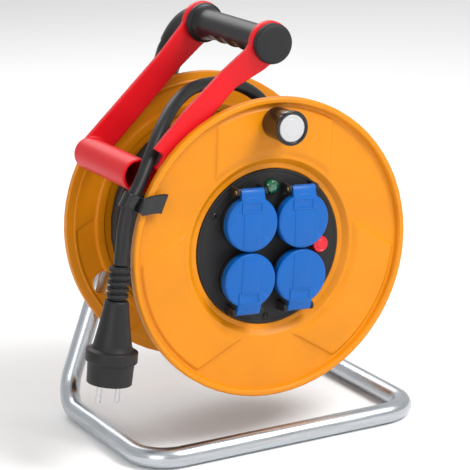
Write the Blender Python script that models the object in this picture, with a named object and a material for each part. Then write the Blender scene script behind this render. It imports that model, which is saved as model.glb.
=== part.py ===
"""Extension cord reel: a plastic drum with four covered sockets, on a bent steel tube frame.

Metres, +Z up.  The drum turns on a horizontal axle along Y and its socket side faces -Y.
The origin is on the floor, under the middle of the frame.
"""
import math

import bmesh
import bpy
from mathutils import Matrix, Vector

# ---------------------------------------------------------------- driving dimensions
TUBE_R = 0.010                 # frame tube, 20 mm
TUBE_SIDES = 12
TUBE_FLAT = TUBE_R * math.cos(math.pi / TUBE_SIDES)   # from the tube axis to its flats
TUBE_BORE_R = 0.0085
AXLE_Z = 0.1905                # axle height over the floor
KNOB_OUT = 0.1100              # outer face of the crank knob, from the middle of the drum
REAR_OUT = 0.1205              # rear end of the frame bolts
DRUM_Y = (KNOB_OUT - REAR_OUT) / 2   # middle of the drum, so that the object stands centred
DRUM_TURN = math.radians(4.3)  # how far the drum stands turned, crank side to the right
GAP = 0.0003                   # clearance between touching pieces

FLANGE_R = 0.145
RIM_OUT = 0.0819               # outer plane of the rim, from the middle of the drum
FACE_OUT = 0.0760              # flange face between the arms
ARM_OUT = 0.0774               # raised arms of the flange
FACE_IN = 0.0730               # inner face of the flange
RING_R = 0.1050                # raised ring on the inner face, just outside the winding
RING_IN = 0.0710
SEAT_OUT = 0.0690              # seat of the socket panel
RECESS_R = 0.0875
PANEL_R = 0.0752
PANEL_OUT = 0.0722
CRANK_R = 0.1205               # crank pin and grip hole, from the axle
BARREL_R = 0.0705
BARREL_BORE_R = 0.0655
BARREL_HALF = 0.0657
CHAMBER_R = 0.0620             # opening behind the socket panel
SCREW_CIRCLE_R = 0.0680
AXLE_R = 0.0080

CABLE_R = 0.00625
WINDING_R = 0.1045

SOCKET_PITCH = 0.0546
LID_R = 0.0265
LID_OUT = 0.0910
HINGE_REACH = 0.0303           # hinge axis, from the middle of its lid
HINGE_OUT = 0.0848
LID_SKIRT = 0.0030              # how far the skirt reaches behind the hinge axis
LID_FACE = 0.0032               # back of the lid's face, in front of the hinge axis
HINGE_PIN_R = 0.0012
KNUCKLE_R = 0.0036
TAB_HALF = 0.0125
EAR_IN = 0.0128
EAR_OUT = 0.0160
SOCKET_R = 0.0225
SOCKET_BACK = 0.0420
COLLAR_R = 0.0234
COLLAR_OUT = 0.0860
COLLAR_BASE_R = 0.0260
COLLAR_BASE_OUT = 0.0806
WELL_R = 0.0195
WELL_DEPTH = 0.0245
LENS_Z = 0.0588
LENS_R = 0.0070
LENS_STEM_R = 0.0055
BUTTON_X = 0.0528
BUTTON_R = 0.0080
SCREW_ANGLES = (30, 150, 270)
SCREW_R = 0.0012
SPRING_R = 0.0026
SPRING_WIRE_R = 0.0004
SPRING_TURNS = 3
SPRING_LENGTH = 0.0022
CRANK_PIN_R = 0.0040
CRANK_HEAD_R = 0.0062           # the pin's head, beside the flange's inner ring
KNOB_R = 0.0165
GRIP_HOLE_R = 0.0120
HOUSING_R = 0.0155
HOUSING_BORE_R = 0.0122
HOUSING_FRONT = -0.0310
GLAND_ANGLE = 250
GLAND_Y = 0.040
GLAND_R = 0.0070

BASE_X = 0.1444                # side tubes
BASE_FRONT_Y = -0.0975         # front tube, from the middle of the drum
LEG_Y = 0.1055
HANDLE_X = 0.0035              # grip axis, from the axle
HANDLE_Z = 0.1965
PLATE_FRONT = 0.0917           # axle plate, from the middle of the drum
PLATE_REAR = 0.0952
PLATE_HALF_HEIGHT = 0.030
BOLT_R = 0.0030
AXLE_FRONT = -0.0370
AXLE_REAR = 0.1110
AXLE_STUD_R = 0.0050
CIRCLIP_Y = -0.0340
CORNER_R = 0.034
ELBOW_R = 0.038
RIGHT_LEG_TOP = 0.045          # over the axle

GRIP_FRONT = -0.0735           # front end of the grip, from the middle of the drum
GRIP_REAR = 0.0565
END_CAP_INNER = -0.0825
FINGERS = 4
FINGER_R = 0.0125
SLEEVE_R = 0.0138
SLEEVE_BORE_R = 0.0107
SLEEVE_START_Y = 0.0665
SLEEVE_END_Z = 0.105           # lower end of the handle sleeve, over the axle
GRIP_R = 0.0140
GRIP_BORE_R = 0.0103
PILOT_HEAD_R = 0.0205
PILOT_ANGLE = math.radians(222.5)
PILOT_LENGTH = 0.1699          # grip axis to the guide bar
PILOT_HALF_WIDTH = 0.0128
PILOT_BAR_R = 0.0157
PILOT_BAR_BORE_R = 0.0125
PILOT_HEAD_Y = -0.0780
PILOT_FRONT_Y = -0.0680        # middle of the front arm, below its head
PILOT_REAR_Y = 0.0605
PILOT_THICK = 0.0060
NOTCH_START = (-0.1010, 0.0, 0.1150)   # where the cable enters the notch, from the axle
NOTCH_END = (-0.1440, 0.0, 0.0570)
NOTCH_HALF = 0.0088
NOTCH_MIDDLE_Y = -0.0612
NOTCH_HALF_Y = 0.0118

# route of the free end of the cable, measured from the middle of the drum
TAIL_ROUTE = [
    (0.1046, 0.0500, 0.0383), (0.0875, 0.0505, 0.0750), (0.0640, 0.0505, 0.1100),
    (0.0430, 0.0480, 0.1275), (0.0180, 0.0400, 0.1375), (-0.0073, 0.0300, 0.1412),
    (-0.0320, 0.0145, 0.1420), (-0.0545, -0.0050, 0.1390), (-0.0755, -0.0250, 0.1315),
    (-0.0950, -0.0430, 0.1185), (-0.1082, -0.0540, 0.1045), (-0.1195, -0.0612, 0.0895),
    (-0.1312, -0.0676, 0.0745), (-0.1405, -0.0716, 0.0645), (-0.1448, -0.0738, 0.0572),
    (-0.1510, -0.0768, 0.0400), (-0.1542, -0.0785, 0.0240), (-0.1570, -0.0790, 0.0085),
]
PLUG_TOP = Vector((-0.1572, -0.0790, 0.0072))
PLUG_AXIS = Vector((-0.149, 0.0, -0.989)).normalized()

BOOT_LENGTH = 0.0315
BOOT_RIBS = 5
PLUG_LENGTH = 0.1105
PIN_LENGTH = 0.0190
PIN_R = 0.0024
PIN_SPACING = 0.0190
PIN_ROOT = 0.0080
CLIP_POINT = 13                # the route's point in the middle of the rim clip
CLIP_WALL = 0.0026             # outside of the clip's ring, over the cable
CLIP_SLACK = 0.0008
CLIP_HEIGHT = 0.0150
CLIP_TAB_R = 0.1388             # end of the clip's tab, clear of the crank knob's path

ROUND = 32                     # sides of a large turned piece
SMALL = 16                     # sides of a small one


# ---------------------------------------------------------------- materials
def material(name, colour, roughness, metallic=0.0):
    found = bpy.data.materials.get(name)
    if found:
        return found
    made = bpy.data.materials.new(name)
    made.use_nodes = True
    shader = made.node_tree.nodes["Principled BSDF"]
    shader.inputs["Base Color"].default_value = (*colour, 1.0)
    shader.inputs["Roughness"].default_value = roughness
    shader.inputs["Metallic"].default_value = metallic
    return made


def yellow():
    return material("yellow_plastic", (0.87, 0.36, 0.025), 0.42)


def black():
    return material("black_plastic", (0.018, 0.018, 0.020), 0.45)


def rubber():
    return material("black_rubber", (0.014, 0.014, 0.015), 0.55)


def red():
    return material("red_plastic", (0.75, 0.006, 0.015), 0.38)


def blue():
    return material("blue_plastic", (0.0, 0.155, 0.62), 0.40)


def steel():
    return material("galvanised_steel", (0.55, 0.57, 0.58), 0.35, 1.0)


def brass():
    return material("brass", (0.60, 0.42, 0.16), 0.30, 1.0)


# ---------------------------------------------------------------- mesh helpers
def new_object(name, mesh, finish, parent=None):
    made = bpy.data.objects.new(name, mesh)
    bpy.context.scene.collection.objects.link(made)
    mesh.materials.append(finish)
    made.parent = parent
    return made


def mesh_from(name, bm, smooth_angle=40):
    bmesh.ops.recalc_face_normals(bm, faces=bm.faces)
    mesh = bpy.data.meshes.new(name)
    bm.to_mesh(mesh)
    bm.free()
    mesh.shade_smooth()
    mesh.set_sharp_from_angle(angle=math.radians(smooth_angle))
    return mesh


def turned(name, profile, finish, parent=None, steps=ROUND, phase=0.0):
    """A closed outline of (radius, y) points, spun about Y."""
    bm = bmesh.new()
    points = [bm.verts.new((r, y, 0.0)) for r, y in profile]
    edges = [bm.edges.new((a, b)) for a, b in zip(points, points[1:] + points[:1])]
    bmesh.ops.rotate(bm, verts=bm.verts, cent=(0, 0, 0), matrix=Matrix.Rotation(phase, 3, "Y"))
    bmesh.ops.spin(bm, geom=points + edges, cent=(0, 0, 0), axis=(0, 1, 0),
                   angle=math.tau, steps=steps, use_merge=False, use_normal_flip=False)
    bmesh.ops.remove_doubles(bm, verts=bm.verts, dist=1e-6)
    flat = [f for f in bm.faces if f.calc_area() < 1e-12]
    bmesh.ops.delete(bm, geom=flat, context="FACES")
    loose = [e for e in bm.edges if not e.link_faces]
    bmesh.ops.delete(bm, geom=loose, context="EDGES")
    return new_object(name, mesh_from(name, bm), finish, parent)


def prism(name, outline, finish, low, high, parent=None, axis="Y"):
    """An outline of (x, z) points, extruded along Y (or of (y, z) points, along X)."""
    def place(a, b, depth):
        return (a, depth, b) if axis == "Y" else (depth, a, b)
    bm = bmesh.new()
    face = bm.faces.new([bm.verts.new(place(a, b, low)) for a, b in outline])
    grown = bmesh.ops.extrude_face_region(bm, geom=[face])
    moved = [v for v in grown["geom"] if isinstance(v, bmesh.types.BMVert)]
    bmesh.ops.translate(bm, verts=moved, vec=place(0.0, 0.0, high - low))
    return new_object(name, mesh_from(name, bm), finish, parent)


def turned_at(name, place, profile, finish, parent=None, steps=ROUND):
    """A turned piece whose axis goes through a place; its y values are added to the place's."""
    made = turned(name, profile, finish, parent, steps)
    made.location = place
    return made


def rod(name, start, end, radius, finish, parent=None, sides=SMALL):
    """A plain cylinder between two points."""
    start, end = Vector(start), Vector(end)
    bm = bmesh.new()
    bmesh.ops.create_cone(bm, cap_ends=True, segments=sides, radius1=radius, radius2=radius,
                          depth=(end - start).length)
    turn = (end - start).to_track_quat("Z", "Y").to_matrix().to_4x4()
    bmesh.ops.transform(bm, verts=bm.verts, matrix=Matrix.Translation((start + end) / 2) @ turn)
    return new_object(name, mesh_from(name, bm), finish, parent)


def box(name, low, high, finish, parent=None):
    bm = bmesh.new()
    bmesh.ops.create_cube(bm, size=1.0)
    size = Vector(high) - Vector(low)
    bmesh.ops.scale(bm, vec=size, verts=bm.verts)
    bmesh.ops.translate(bm, vec=(Vector(high) + Vector(low)) / 2, verts=bm.verts)
    return new_object(name, mesh_from(name, bm), finish, parent)


def combine(base, others, operation):
    """Joins other solids to a base, or cuts them out of it; they are used up."""
    for other in others:
        modifier = base.modifiers.new(operation.lower(), "BOOLEAN")
        modifier.operation = operation
        modifier.solver = "EXACT"
        modifier.object = other
    graph = bpy.context.evaluated_depsgraph_get()
    shaped = bpy.data.meshes.new_from_object(base.evaluated_get(graph), depsgraph=graph)
    base.modifiers.clear()
    base.data = shaped
    for other in others:
        bpy.data.objects.remove(other, do_unlink=True)
    bm = bmesh.new()
    bm.from_mesh(shaped)
    bmesh.ops.remove_doubles(bm, verts=bm.verts, dist=2e-6)
    bmesh.ops.dissolve_degenerate(bm, dist=2e-6, edges=bm.edges)
    bm.to_mesh(shaped)
    bm.free()
    return base


def join(base, *others):
    return combine(base, list(others), "UNION")


def cut(base, *others):
    return combine(base, list(others), "DIFFERENCE")


def circle(radius, sides, centre=(0.0, 0.0), start=0.0, turn=math.tau):
    """Points of a circle, or of an arc when turn is less than a full one."""
    count = sides if turn >= math.tau else sides + 1
    return [(centre[0] + radius * math.cos(start + turn * i / sides),
             centre[1] + radius * math.sin(start + turn * i / sides)) for i in range(count)]


def swept(name, path, radii, finish, parent=None, sides=12, up=(0.0, 0.0, 1.0), start=0):
    """A tube along a path; radii is (outer, bore), and the frame is carried from point start."""
    count = len(path)
    steps = [(q - p).normalized() for p, q in zip(path, path[1:])]
    tangents = [(a + b).normalized() for a, b in zip(steps[:1] + steps, steps + steps[-1:])]
    ups = [None] * count
    ups[start] = (Vector(up) - tangents[start] * Vector(up).dot(tangents[start])).normalized()
    for order in (range(start + 1, count), range(start - 1, -1, -1)):
        last = start
        for i in order:
            turn = tangents[last].rotation_difference(tangents[i])
            ups[i] = (turn @ ups[last]).normalized()
            last = i
    bm = bmesh.new()
    rings = []
    for radius in radii:
        for point, along, high in zip(path, tangents, ups):
            side = along.cross(high)
            ring = []
            for k in range(sides):
                angle = math.tau * (k + 0.5) / sides
                offset = high * math.cos(angle) + side * math.sin(angle)
                ring.append(bm.verts.new(point + offset * radius))
            rings.append(ring)
    def wall(first, second):
        for k in range(sides):
            n = (k + 1) % sides
            bm.faces.new((first[k], first[n], second[n], second[k]))
    outer, bore = rings[:count], rings[count:]
    for i in range(count - 1):
        wall(outer[i], outer[i + 1])
        if bore:
            wall(bore[i + 1], bore[i])
    if bore:
        wall(bore[0], outer[0])
        wall(outer[-1], bore[-1])
    else:
        bm.faces.new(outer[0])
        bm.faces.new(outer[-1])
    return new_object(name, mesh_from(name, bm), finish, parent)


def rounded(corners, radii, steps=6):
    """A path through corners, each inner corner rounded to its radius."""
    path = [corners[0]]
    for before, corner, after, radius in zip(corners, corners[1:], corners[2:], radii):
        into = (corner - before).normalized()
        out = (after - corner).normalized()
        half = into.angle(out) / 2
        back = radius * math.tan(half)
        centre = corner + (out - into).normalized() * radius / math.cos(half)
        first = corner - into * back
        axis = into.cross(out).normalized()
        for i in range(steps + 1):
            swing = Matrix.Rotation(2 * half * i / steps, 3, axis)
            path.append(centre + swing @ (first - centre))
    path.append(corners[-1])
    return path


# ---------------------------------------------------------------- frame
def drum_point(x, y, z):
    """A point measured from the middle of the drum."""
    return Vector((x, y + DRUM_Y, z + AXLE_Z))


def leg_point(side, z):
    """The axis of a leg (side -1 left, +1 right), at a height over the axle."""
    floor_z = TUBE_FLAT - AXLE_Z
    lean = (BASE_X + HANDLE_X) / (HANDLE_Z - floor_z)
    return drum_point(side * (BASE_X - lean * (z - floor_z)), LEG_Y, z)


def frame_path():
    floor_z = TUBE_FLAT - AXLE_Z
    corners = [
        drum_point(HANDLE_X, END_CAP_INNER, HANDLE_Z),
        drum_point(HANDLE_X, LEG_Y, HANDLE_Z),
        drum_point(-BASE_X, LEG_Y, floor_z),
        drum_point(-BASE_X, BASE_FRONT_Y, floor_z),
        drum_point(BASE_X, BASE_FRONT_Y, floor_z),
        drum_point(BASE_X, LEG_Y, floor_z),
        leg_point(1, RIGHT_LEG_TOP),
    ]
    return rounded(corners, [ELBOW_R] + [CORNER_R] * 4)


def hex_nut(name, centre, corner_r, bolt_r, low, high):
    nut = prism(name, circle(corner_r, 6, centre), steel(), DRUM_Y + low, DRUM_Y + high)
    cut(nut, rod("bore", (centre[0], 0.0, centre[1]), (centre[0], 0.2, centre[1]),
                 bolt_r + GAP, steel(), sides=12))


def build_frame():
    path = frame_path()
    front = next(i for i, p in enumerate(path)
                 if abs(p.y - DRUM_Y - BASE_FRONT_Y) < 1e-6 and p.z < 2 * TUBE_R)
    tube = swept("frame_tube", path, (TUBE_R, TUBE_BORE_R), steel(), sides=TUBE_SIDES, start=front)
    holes = []
    for side, word in ((-1, "left"), (1, "right")):
        at = leg_point(side, 0.0)
        axle_line = (at.x, DRUM_Y, at.z)
        holes.append(rod("hole", (at.x, at.y - 0.02, at.z), (at.x, at.y + 0.02, at.z),
                         BOLT_R + GAP, steel(), sides=12))
        head = PLATE_FRONT - GAP
        turned_at("frame_bolt_" + word, axle_line, [
            (0.0, head - 0.0035), (0.0055, head - 0.0035), (0.0055, head), (BOLT_R, head),
            (BOLT_R, REAR_OUT), (0.0, REAR_OUT)], steel(), steps=12)
        nut = LEG_Y + TUBE_R + GAP
        hex_nut("frame_nut_" + word, (at.x, at.z), 0.0055, BOLT_R, nut, nut + 0.004)
    cut(tube, *holes)

    low, high = -PLATE_HALF_HEIGHT, PLATE_HALF_HEIGHT
    edge = TUBE_R + 0.004
    outline = [(leg_point(side, z).x + side * edge, z + AXLE_Z)
               for side, z in ((-1, low), (1, low), (1, high), (-1, high))]
    plate = prism("axle_plate", outline, steel(), DRUM_Y + PLATE_FRONT, DRUM_Y + PLATE_REAR)
    holes = [rod("hole", (leg_point(side, 0.0).x, 0.0, AXLE_Z),
                 (leg_point(side, 0.0).x, 0.2, AXLE_Z), BOLT_R + GAP, steel(), sides=12)
             for side in (-1, 1)]
    holes.append(rod("hole", (0, 0, AXLE_Z), (0, 0.2, AXLE_Z), AXLE_STUD_R + GAP, steel()))
    cut(plate, *holes)

    axle_at = (0.0, DRUM_Y, AXLE_Z)
    shoulder = PLATE_FRONT - GAP
    groove_r = AXLE_R - 0.001
    turned_at("axle", axle_at, [
        (0.0, AXLE_FRONT), (AXLE_R, AXLE_FRONT), (AXLE_R, CIRCLIP_Y), (groove_r, CIRCLIP_Y),
        (groove_r, CIRCLIP_Y + 0.002), (AXLE_R, CIRCLIP_Y + 0.002), (AXLE_R, shoulder),
        (AXLE_STUD_R, shoulder), (AXLE_STUD_R, AXLE_REAR), (0.0, AXLE_REAR)],
        steel(), steps=SMALL)
    turned_at("axle_circlip", axle_at, [
        (groove_r + GAP, CIRCLIP_Y + GAP), (0.0115, CIRCLIP_Y + GAP),
        (0.0115, CIRCLIP_Y + 0.002 - GAP), (groove_r + GAP, CIRCLIP_Y + 0.002 - GAP)],
        steel(), steps=SMALL)
    washer = PLATE_REAR + GAP
    turned_at("axle_washer", axle_at, [
        (AXLE_STUD_R + GAP, washer), (0.012, washer), (0.012, washer + 0.0016),
        (AXLE_STUD_R + GAP, washer + 0.0016)], steel(), steps=SMALL)
    nut = washer + 0.0016 + GAP
    hex_nut("axle_nut", (0.0, AXLE_Z), 0.0095, AXLE_STUD_R, nut, nut + 0.008)

    along = (leg_point(1, RIGHT_LEG_TOP) - leg_point(1, 0.0)).normalized()
    plug = turned_at("leg_plug", leg_point(1, RIGHT_LEG_TOP), [
        (0.0, -0.012), (TUBE_BORE_R - 2 * GAP, -0.012), (TUBE_BORE_R - 2 * GAP, GAP),
        (TUBE_R, GAP), (TUBE_R - 0.001, 0.003), (0.0, 0.003)], black(), steps=SMALL)
    plug.rotation_euler = along.to_track_quat("Y", "Z").to_euler()


def build_handle():
    sleeve = [drum_point(HANDLE_X, SLEEVE_START_Y, HANDLE_Z)]
    sleeve += [p for p in frame_path() if p.y > sleeve[0].y and p.z > AXLE_Z + SLEEVE_END_Z]
    sleeve.append(leg_point(-1, SLEEVE_END_Z))
    swept("handle_elbow", sleeve, (SLEEVE_R, SLEEVE_BORE_R), black(), sides=12)

    at = Vector((HANDLE_X, DRUM_Y, AXLE_Z + HANDLE_Z))
    grip = turned_at("grip", at, [
        (GRIP_BORE_R, GRIP_FRONT), (GRIP_R + 0.001, GRIP_FRONT), (GRIP_R, GRIP_FRONT + 0.006),
        (GRIP_R, GRIP_REAR - 0.012), (0.0165, GRIP_REAR - 0.006), (0.0195, GRIP_REAR - 0.004),
        (0.0195, GRIP_REAR), (GRIP_BORE_R, GRIP_REAR)], black(), steps=20)
    dents = []
    for i in range(FINGERS):
        dent = rod("dent", (-0.03, 0, 0), (0.03, 0, 0), FINGER_R, black(), sides=16)
        dent.location = at + Vector((0.0, GRIP_FRONT + 0.024 + i * 0.0235,
                                     -GRIP_R - FINGER_R + 0.0022))
        dents.append(dent)
    bpy.context.view_layer.update()
    cut(grip, *dents)

    stub_r = TUBE_BORE_R - 2 * GAP
    turned_at("end_cap", at, [
        (0.0, -0.0905), (0.0175, -0.0905), (0.0190, -0.0890), (0.0190, END_CAP_INNER - GAP),
        (stub_r, END_CAP_INNER - GAP), (stub_r, END_CAP_INNER + 0.012),
        (0.0, END_CAP_INNER + 0.012)], black(), steps=24)


# ---------------------------------------------------------------- cable guide
def strap(name, stations, finish):
    """A flat bar along the guide's arm: stations of (distance, y of its middle, half width)."""
    along = Vector((math.cos(PILOT_ANGLE), 0.0, math.sin(PILOT_ANGLE)))
    across = Vector((math.sin(PILOT_ANGLE), 0.0, -math.cos(PILOT_ANGLE)))
    bm = bmesh.new()
    rings = []
    for distance, y, half in stations:
        ring = []
        for side, depth in ((-1, -1), (1, -1), (1, 1), (-1, 1)):
            middle = along * distance + Vector((0.0, y + depth * PILOT_THICK / 2, 0.0))
            ring.append(bm.verts.new(middle + across * side * half))
        rings.append(ring)
    for first, second in zip(rings, rings[1:]):
        for k in range(4):
            n = (k + 1) % 4
            bm.faces.new((first[k], first[n], second[n], second[k]))
    bm.faces.new(rings[0])
    bm.faces.new(rings[-1])
    return new_object(name, mesh_from(name, bm), finish)


def build_pilot():
    """The red guide: two arms hung on the handle, and a hollow bar with a notch for the cable."""
    axis = bpy.data.objects.new("pilot_axis", None)
    bpy.context.scene.collection.objects.link(axis)
    axis.location = (HANDLE_X, DRUM_Y, AXLE_Z + HANDLE_Z)
    bar_at = Vector((math.cos(PILOT_ANGLE), 0.0, math.sin(PILOT_ANGLE))) * PILOT_LENGTH
    half = PILOT_THICK / 2
    front = (PILOT_FRONT_Y - half, PILOT_FRONT_Y + half)
    rear = (PILOT_REAR_Y - half, PILOT_REAR_Y + half)

    def disc(radius, low, high, centre=(0.0, 0.0)):
        return prism("disc", circle(radius, 22, centre), red(), low, high)

    def arm(name, head_y, y):
        return strap(name, [
            (0.004, head_y, 0.0160), (0.022, head_y, 0.0145), (0.052, y, PILOT_HALF_WIDTH),
            (PILOT_LENGTH - 0.001, y, PILOT_HALF_WIDTH)], red())

    pilot = arm("cable_pilot", PILOT_HEAD_Y, PILOT_FRONT_Y)
    bar = turned("bar", [
        (PILOT_BAR_BORE_R, front[1] - 0.001), (PILOT_BAR_R, front[1] - 0.001),
        (PILOT_BAR_R, rear[0] + 0.001), (PILOT_BAR_BORE_R, rear[0] + 0.001)], red(), steps=22)
    bar.location = bar_at
    bpy.context.view_layer.update()
    end_centre = (bar_at.x, bar_at.z)
    join(pilot, arm("rear_arm", PILOT_REAR_Y, PILOT_REAR_Y), bar,
         disc(PILOT_HEAD_R, PILOT_HEAD_Y - 0.004, PILOT_HEAD_Y + 0.004),
         disc(PILOT_HEAD_R, rear[0] - GAP, rear[1] + 0.0012),
         disc(PILOT_BAR_R + 0.0002, *front, end_centre),
         disc(PILOT_BAR_R + 0.0002, *rear, end_centre))

    bore = rod("bore", (0, -0.2, 0), (0, 0.2, 0), GRIP_BORE_R, red(), sides=24)
    axle_to_grip = Vector((HANDLE_X, 0.0, HANDLE_Z))
    into = Vector(NOTCH_START) - axle_to_grip
    out = Vector(NOTCH_END) - axle_to_grip
    inward = (out - into).normalized().cross(Vector((0.0, 1.0, 0.0)))
    if inward.dot(-out - axle_to_grip) < 0.0:
        inward = -inward
    corners = [into + inward * NOTCH_HALF, out + inward * NOTCH_HALF,
               out - inward * 0.03, into - inward * 0.03]
    notch = prism("notch", [(p.x, p.z) for p in corners], red(),
                  NOTCH_MIDDLE_Y - NOTCH_HALF_Y, NOTCH_MIDDLE_Y + NOTCH_HALF_Y)
    cut(pilot, bore, notch)
    pilot.parent = axis


# ---------------------------------------------------------------- drum
def local(angle_degrees, radius):
    """A place on the drum: angle from +X towards +Z."""
    angle = math.radians(angle_degrees)
    return radius * math.cos(angle), radius * math.sin(angle)


def flange_outline(out):
    """The flange's section; out is -1 for the front one, whose outside faces -Y."""
    section = [
        (CHAMBER_R, SEAT_OUT), (CHAMBER_R, BARREL_HALF + GAP), (0.0745, BARREL_HALF + GAP),
        (0.0885, FACE_IN), (RING_R, FACE_IN), (RING_R + 0.0012, RING_IN), (0.1128, RING_IN),
        (0.1140, FACE_IN), (0.1365, FACE_IN), (0.1372, 0.0737), (FLANGE_R, 0.0737),
        (FLANGE_R, 0.0805), (0.1435, RIM_OUT), (0.1398, RIM_OUT), (0.1382, 0.0806),
        (0.1370, FACE_OUT), (RECESS_R + 0.0015, FACE_OUT), (0.0790, PANEL_OUT - 0.0012),
        (0.0757, PANEL_OUT - 0.0012), (0.0757, SEAT_OUT)]
    return [(r, out * y) for r, y in section]


def raised_arm(angle, out, parent):
    """One of the three wide arms that stand proud of a flange."""
    wide = 0.061
    inner, outer = RECESS_R + 0.0025, 0.1365
    a_in, a_out = math.asin(wide / inner * 0.98), math.asin(wide / outer)
    middle = math.radians(angle)
    outline = circle(inner, 8, start=middle - a_in, turn=2 * a_in)
    outline += circle(outer, 8, start=middle + a_out, turn=-2 * a_out)[:9]
    low, high = sorted((out * (FACE_OUT - 0.0008), out * ARM_OUT))
    return prism("arm", outline, yellow(), low, high, parent)


def screw_holes(parent, angles, low, high, radius):
    return [rod("hole", (local(a, SCREW_CIRCLE_R)[0], low, local(a, SCREW_CIRCLE_R)[1]),
                (local(a, SCREW_CIRCLE_R)[0], high, local(a, SCREW_CIRCLE_R)[1]),
                radius, black(), parent, sides=8) for a in angles]


def build_flanges(drum):
    for name, out, hole_angle, hole_r in (("front_flange", -1, 90, CRANK_PIN_R + GAP),
                                          ("rear_flange", 1, 211, GRIP_HOLE_R)):
        flange = turned(name, flange_outline(out), yellow(), drum, steps=40)
        join(flange, *[raised_arm(a, out, drum) for a in (90, 210, 330)])
        x, z = local(hole_angle, CRANK_R)
        holes = [rod("hole", (x, -0.1, z), (x, 0.1, z), hole_r, yellow(), drum)]
        holes += screw_holes(drum, SCREW_ANGLES, -0.1, 0.1, SCREW_R + GAP)
        cut(flange, *holes)


def build_hub(drum):
    wall = BARREL_HALF
    barrel = turned("hub_barrel", [
        (BARREL_R, -wall), (BARREL_R, wall), (HOUSING_R, wall), (HOUSING_BORE_R, wall),
        (HOUSING_BORE_R, HOUSING_FRONT), (HOUSING_R, HOUSING_FRONT), (HOUSING_R, wall - 0.003),
        (BARREL_BORE_R, wall - 0.003), (BARREL_BORE_R, -wall)], black(), drum, steps=32)
    holes = screw_holes(drum, SCREW_ANGLES, -0.1, -wall + 0.012, SCREW_R + GAP)
    holes += screw_holes(drum, SCREW_ANGLES, wall - 0.012, 0.1, SCREW_R + GAP)
    x, z = local(GLAND_ANGLE, 1.0)
    holes.append(rod("hole", (x * 0.050, GLAND_Y, z * 0.050), (x * 0.080, GLAND_Y, z * 0.080),
                     GLAND_R + GAP, black(), drum, sides=12))
    cut(barrel, *holes)

    neck = BARREL_R - 0.0005
    gland = turned("cable_gland", [
        (0.0, 0.0), (0.0095, 0.0), (0.0095, BARREL_BORE_R - 0.0536), (GLAND_R, BARREL_BORE_R - 0.0536),
        (GLAND_R, neck - 0.0520), (0.0, neck - 0.0520)], black(), drum, steps=12)
    gland.location = (x * 0.0520, GLAND_Y, z * 0.0520)
    gland.rotation_euler = Vector((x, 0.0, z)).to_track_quat("Y", "Z").to_euler()

    for name, low in (("bush_rear", 0.0480), ("bush_front", HOUSING_FRONT + 0.0005)):
        turned(name, [(AXLE_R + GAP, low), (HOUSING_BORE_R - GAP, low),
                      (HOUSING_BORE_R - GAP, low + 0.017), (AXLE_R + GAP, low + 0.017)],
               material("bearing_plastic", (0.75, 0.74, 0.70), 0.4), drum, steps=20)

    for i, angle in enumerate(SCREW_ANGLES):
        x, z = local(angle, SCREW_CIRCLE_R)
        for name, out, face, tip in (("panel_screw_", -1, PANEL_OUT, 0.0560),
                                     ("drum_screw_", 1, SEAT_OUT, 0.0560)):
            top = face + GAP
            profile = [(0.0, top + 0.0018), (0.0022, top + 0.0018), (0.0032, top),
                       (SCREW_R, top), (SCREW_R, tip), (0.0, tip)]
            screw = turned(name + str(i + 1), [(r, out * y) for r, y in profile],
                           black() if out < 0 else steel(), drum, steps=12)
            screw.location = (x, 0.0, z)

    turned("cable_winding", [
        (BARREL_R + GAP, -0.0650), (BARREL_R + GAP, 0.0650), (0.0745, 0.0650), (0.0885, 0.0720),
        (WINDING_R, 0.0720), (WINDING_R, -0.0720), (0.0885, -0.0720), (0.0745, -0.0650)],
        rubber(), drum, steps=32)


def build_crank(drum):
    x, z = local(90, CRANK_R)
    pin = turned("crank_pin", [
        (0.0, -FACE_IN + 0.0040), (CRANK_HEAD_R, -FACE_IN + 0.0040), (CRANK_HEAD_R, -FACE_IN + GAP),
        (CRANK_PIN_R, -FACE_IN + GAP), (CRANK_PIN_R, -0.1050), (0.0, -0.1050)], steel(), drum,
        steps=SMALL)
    pin.location = (x, 0.0, z)
    foot = -ARM_OUT - GAP
    knob = turned("crank_knob", [
        (CRANK_PIN_R + GAP, foot), (0.0160, foot), (KNOB_R, foot - 0.001),
        (KNOB_R, -KNOB_OUT + 0.001), (KNOB_R - 0.001, -KNOB_OUT), (0.0135, -KNOB_OUT),
        (0.0135, -KNOB_OUT + 0.0035), (CRANK_PIN_R + GAP, -KNOB_OUT + 0.0035)], black(), drum,
        steps=24)
    knob.location = (x, 0.0, z)
    cap = turned("knob_cap", [
        (0.0, -KNOB_OUT + 0.0006), (0.0125, -KNOB_OUT + 0.0006), (0.0132, -KNOB_OUT + 0.0012),
        (0.0132, -KNOB_OUT + 0.0032), (0.0, -KNOB_OUT + 0.0032)],
        material("grey_label", (0.55, 0.55, 0.56), 0.35), drum, steps=24)
    cap.location = (x, 0.0, z)


# ---------------------------------------------------------------- sockets
def socket_places():
    """Name, x, z and whether the hinge is above, for each of the four sockets."""
    half = SOCKET_PITCH / 2
    return [("upper_left", -half, half, True), ("upper_right", half, half, True),
            ("lower_left", -half, -half, False), ("lower_right", half, -half, False)]


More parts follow.
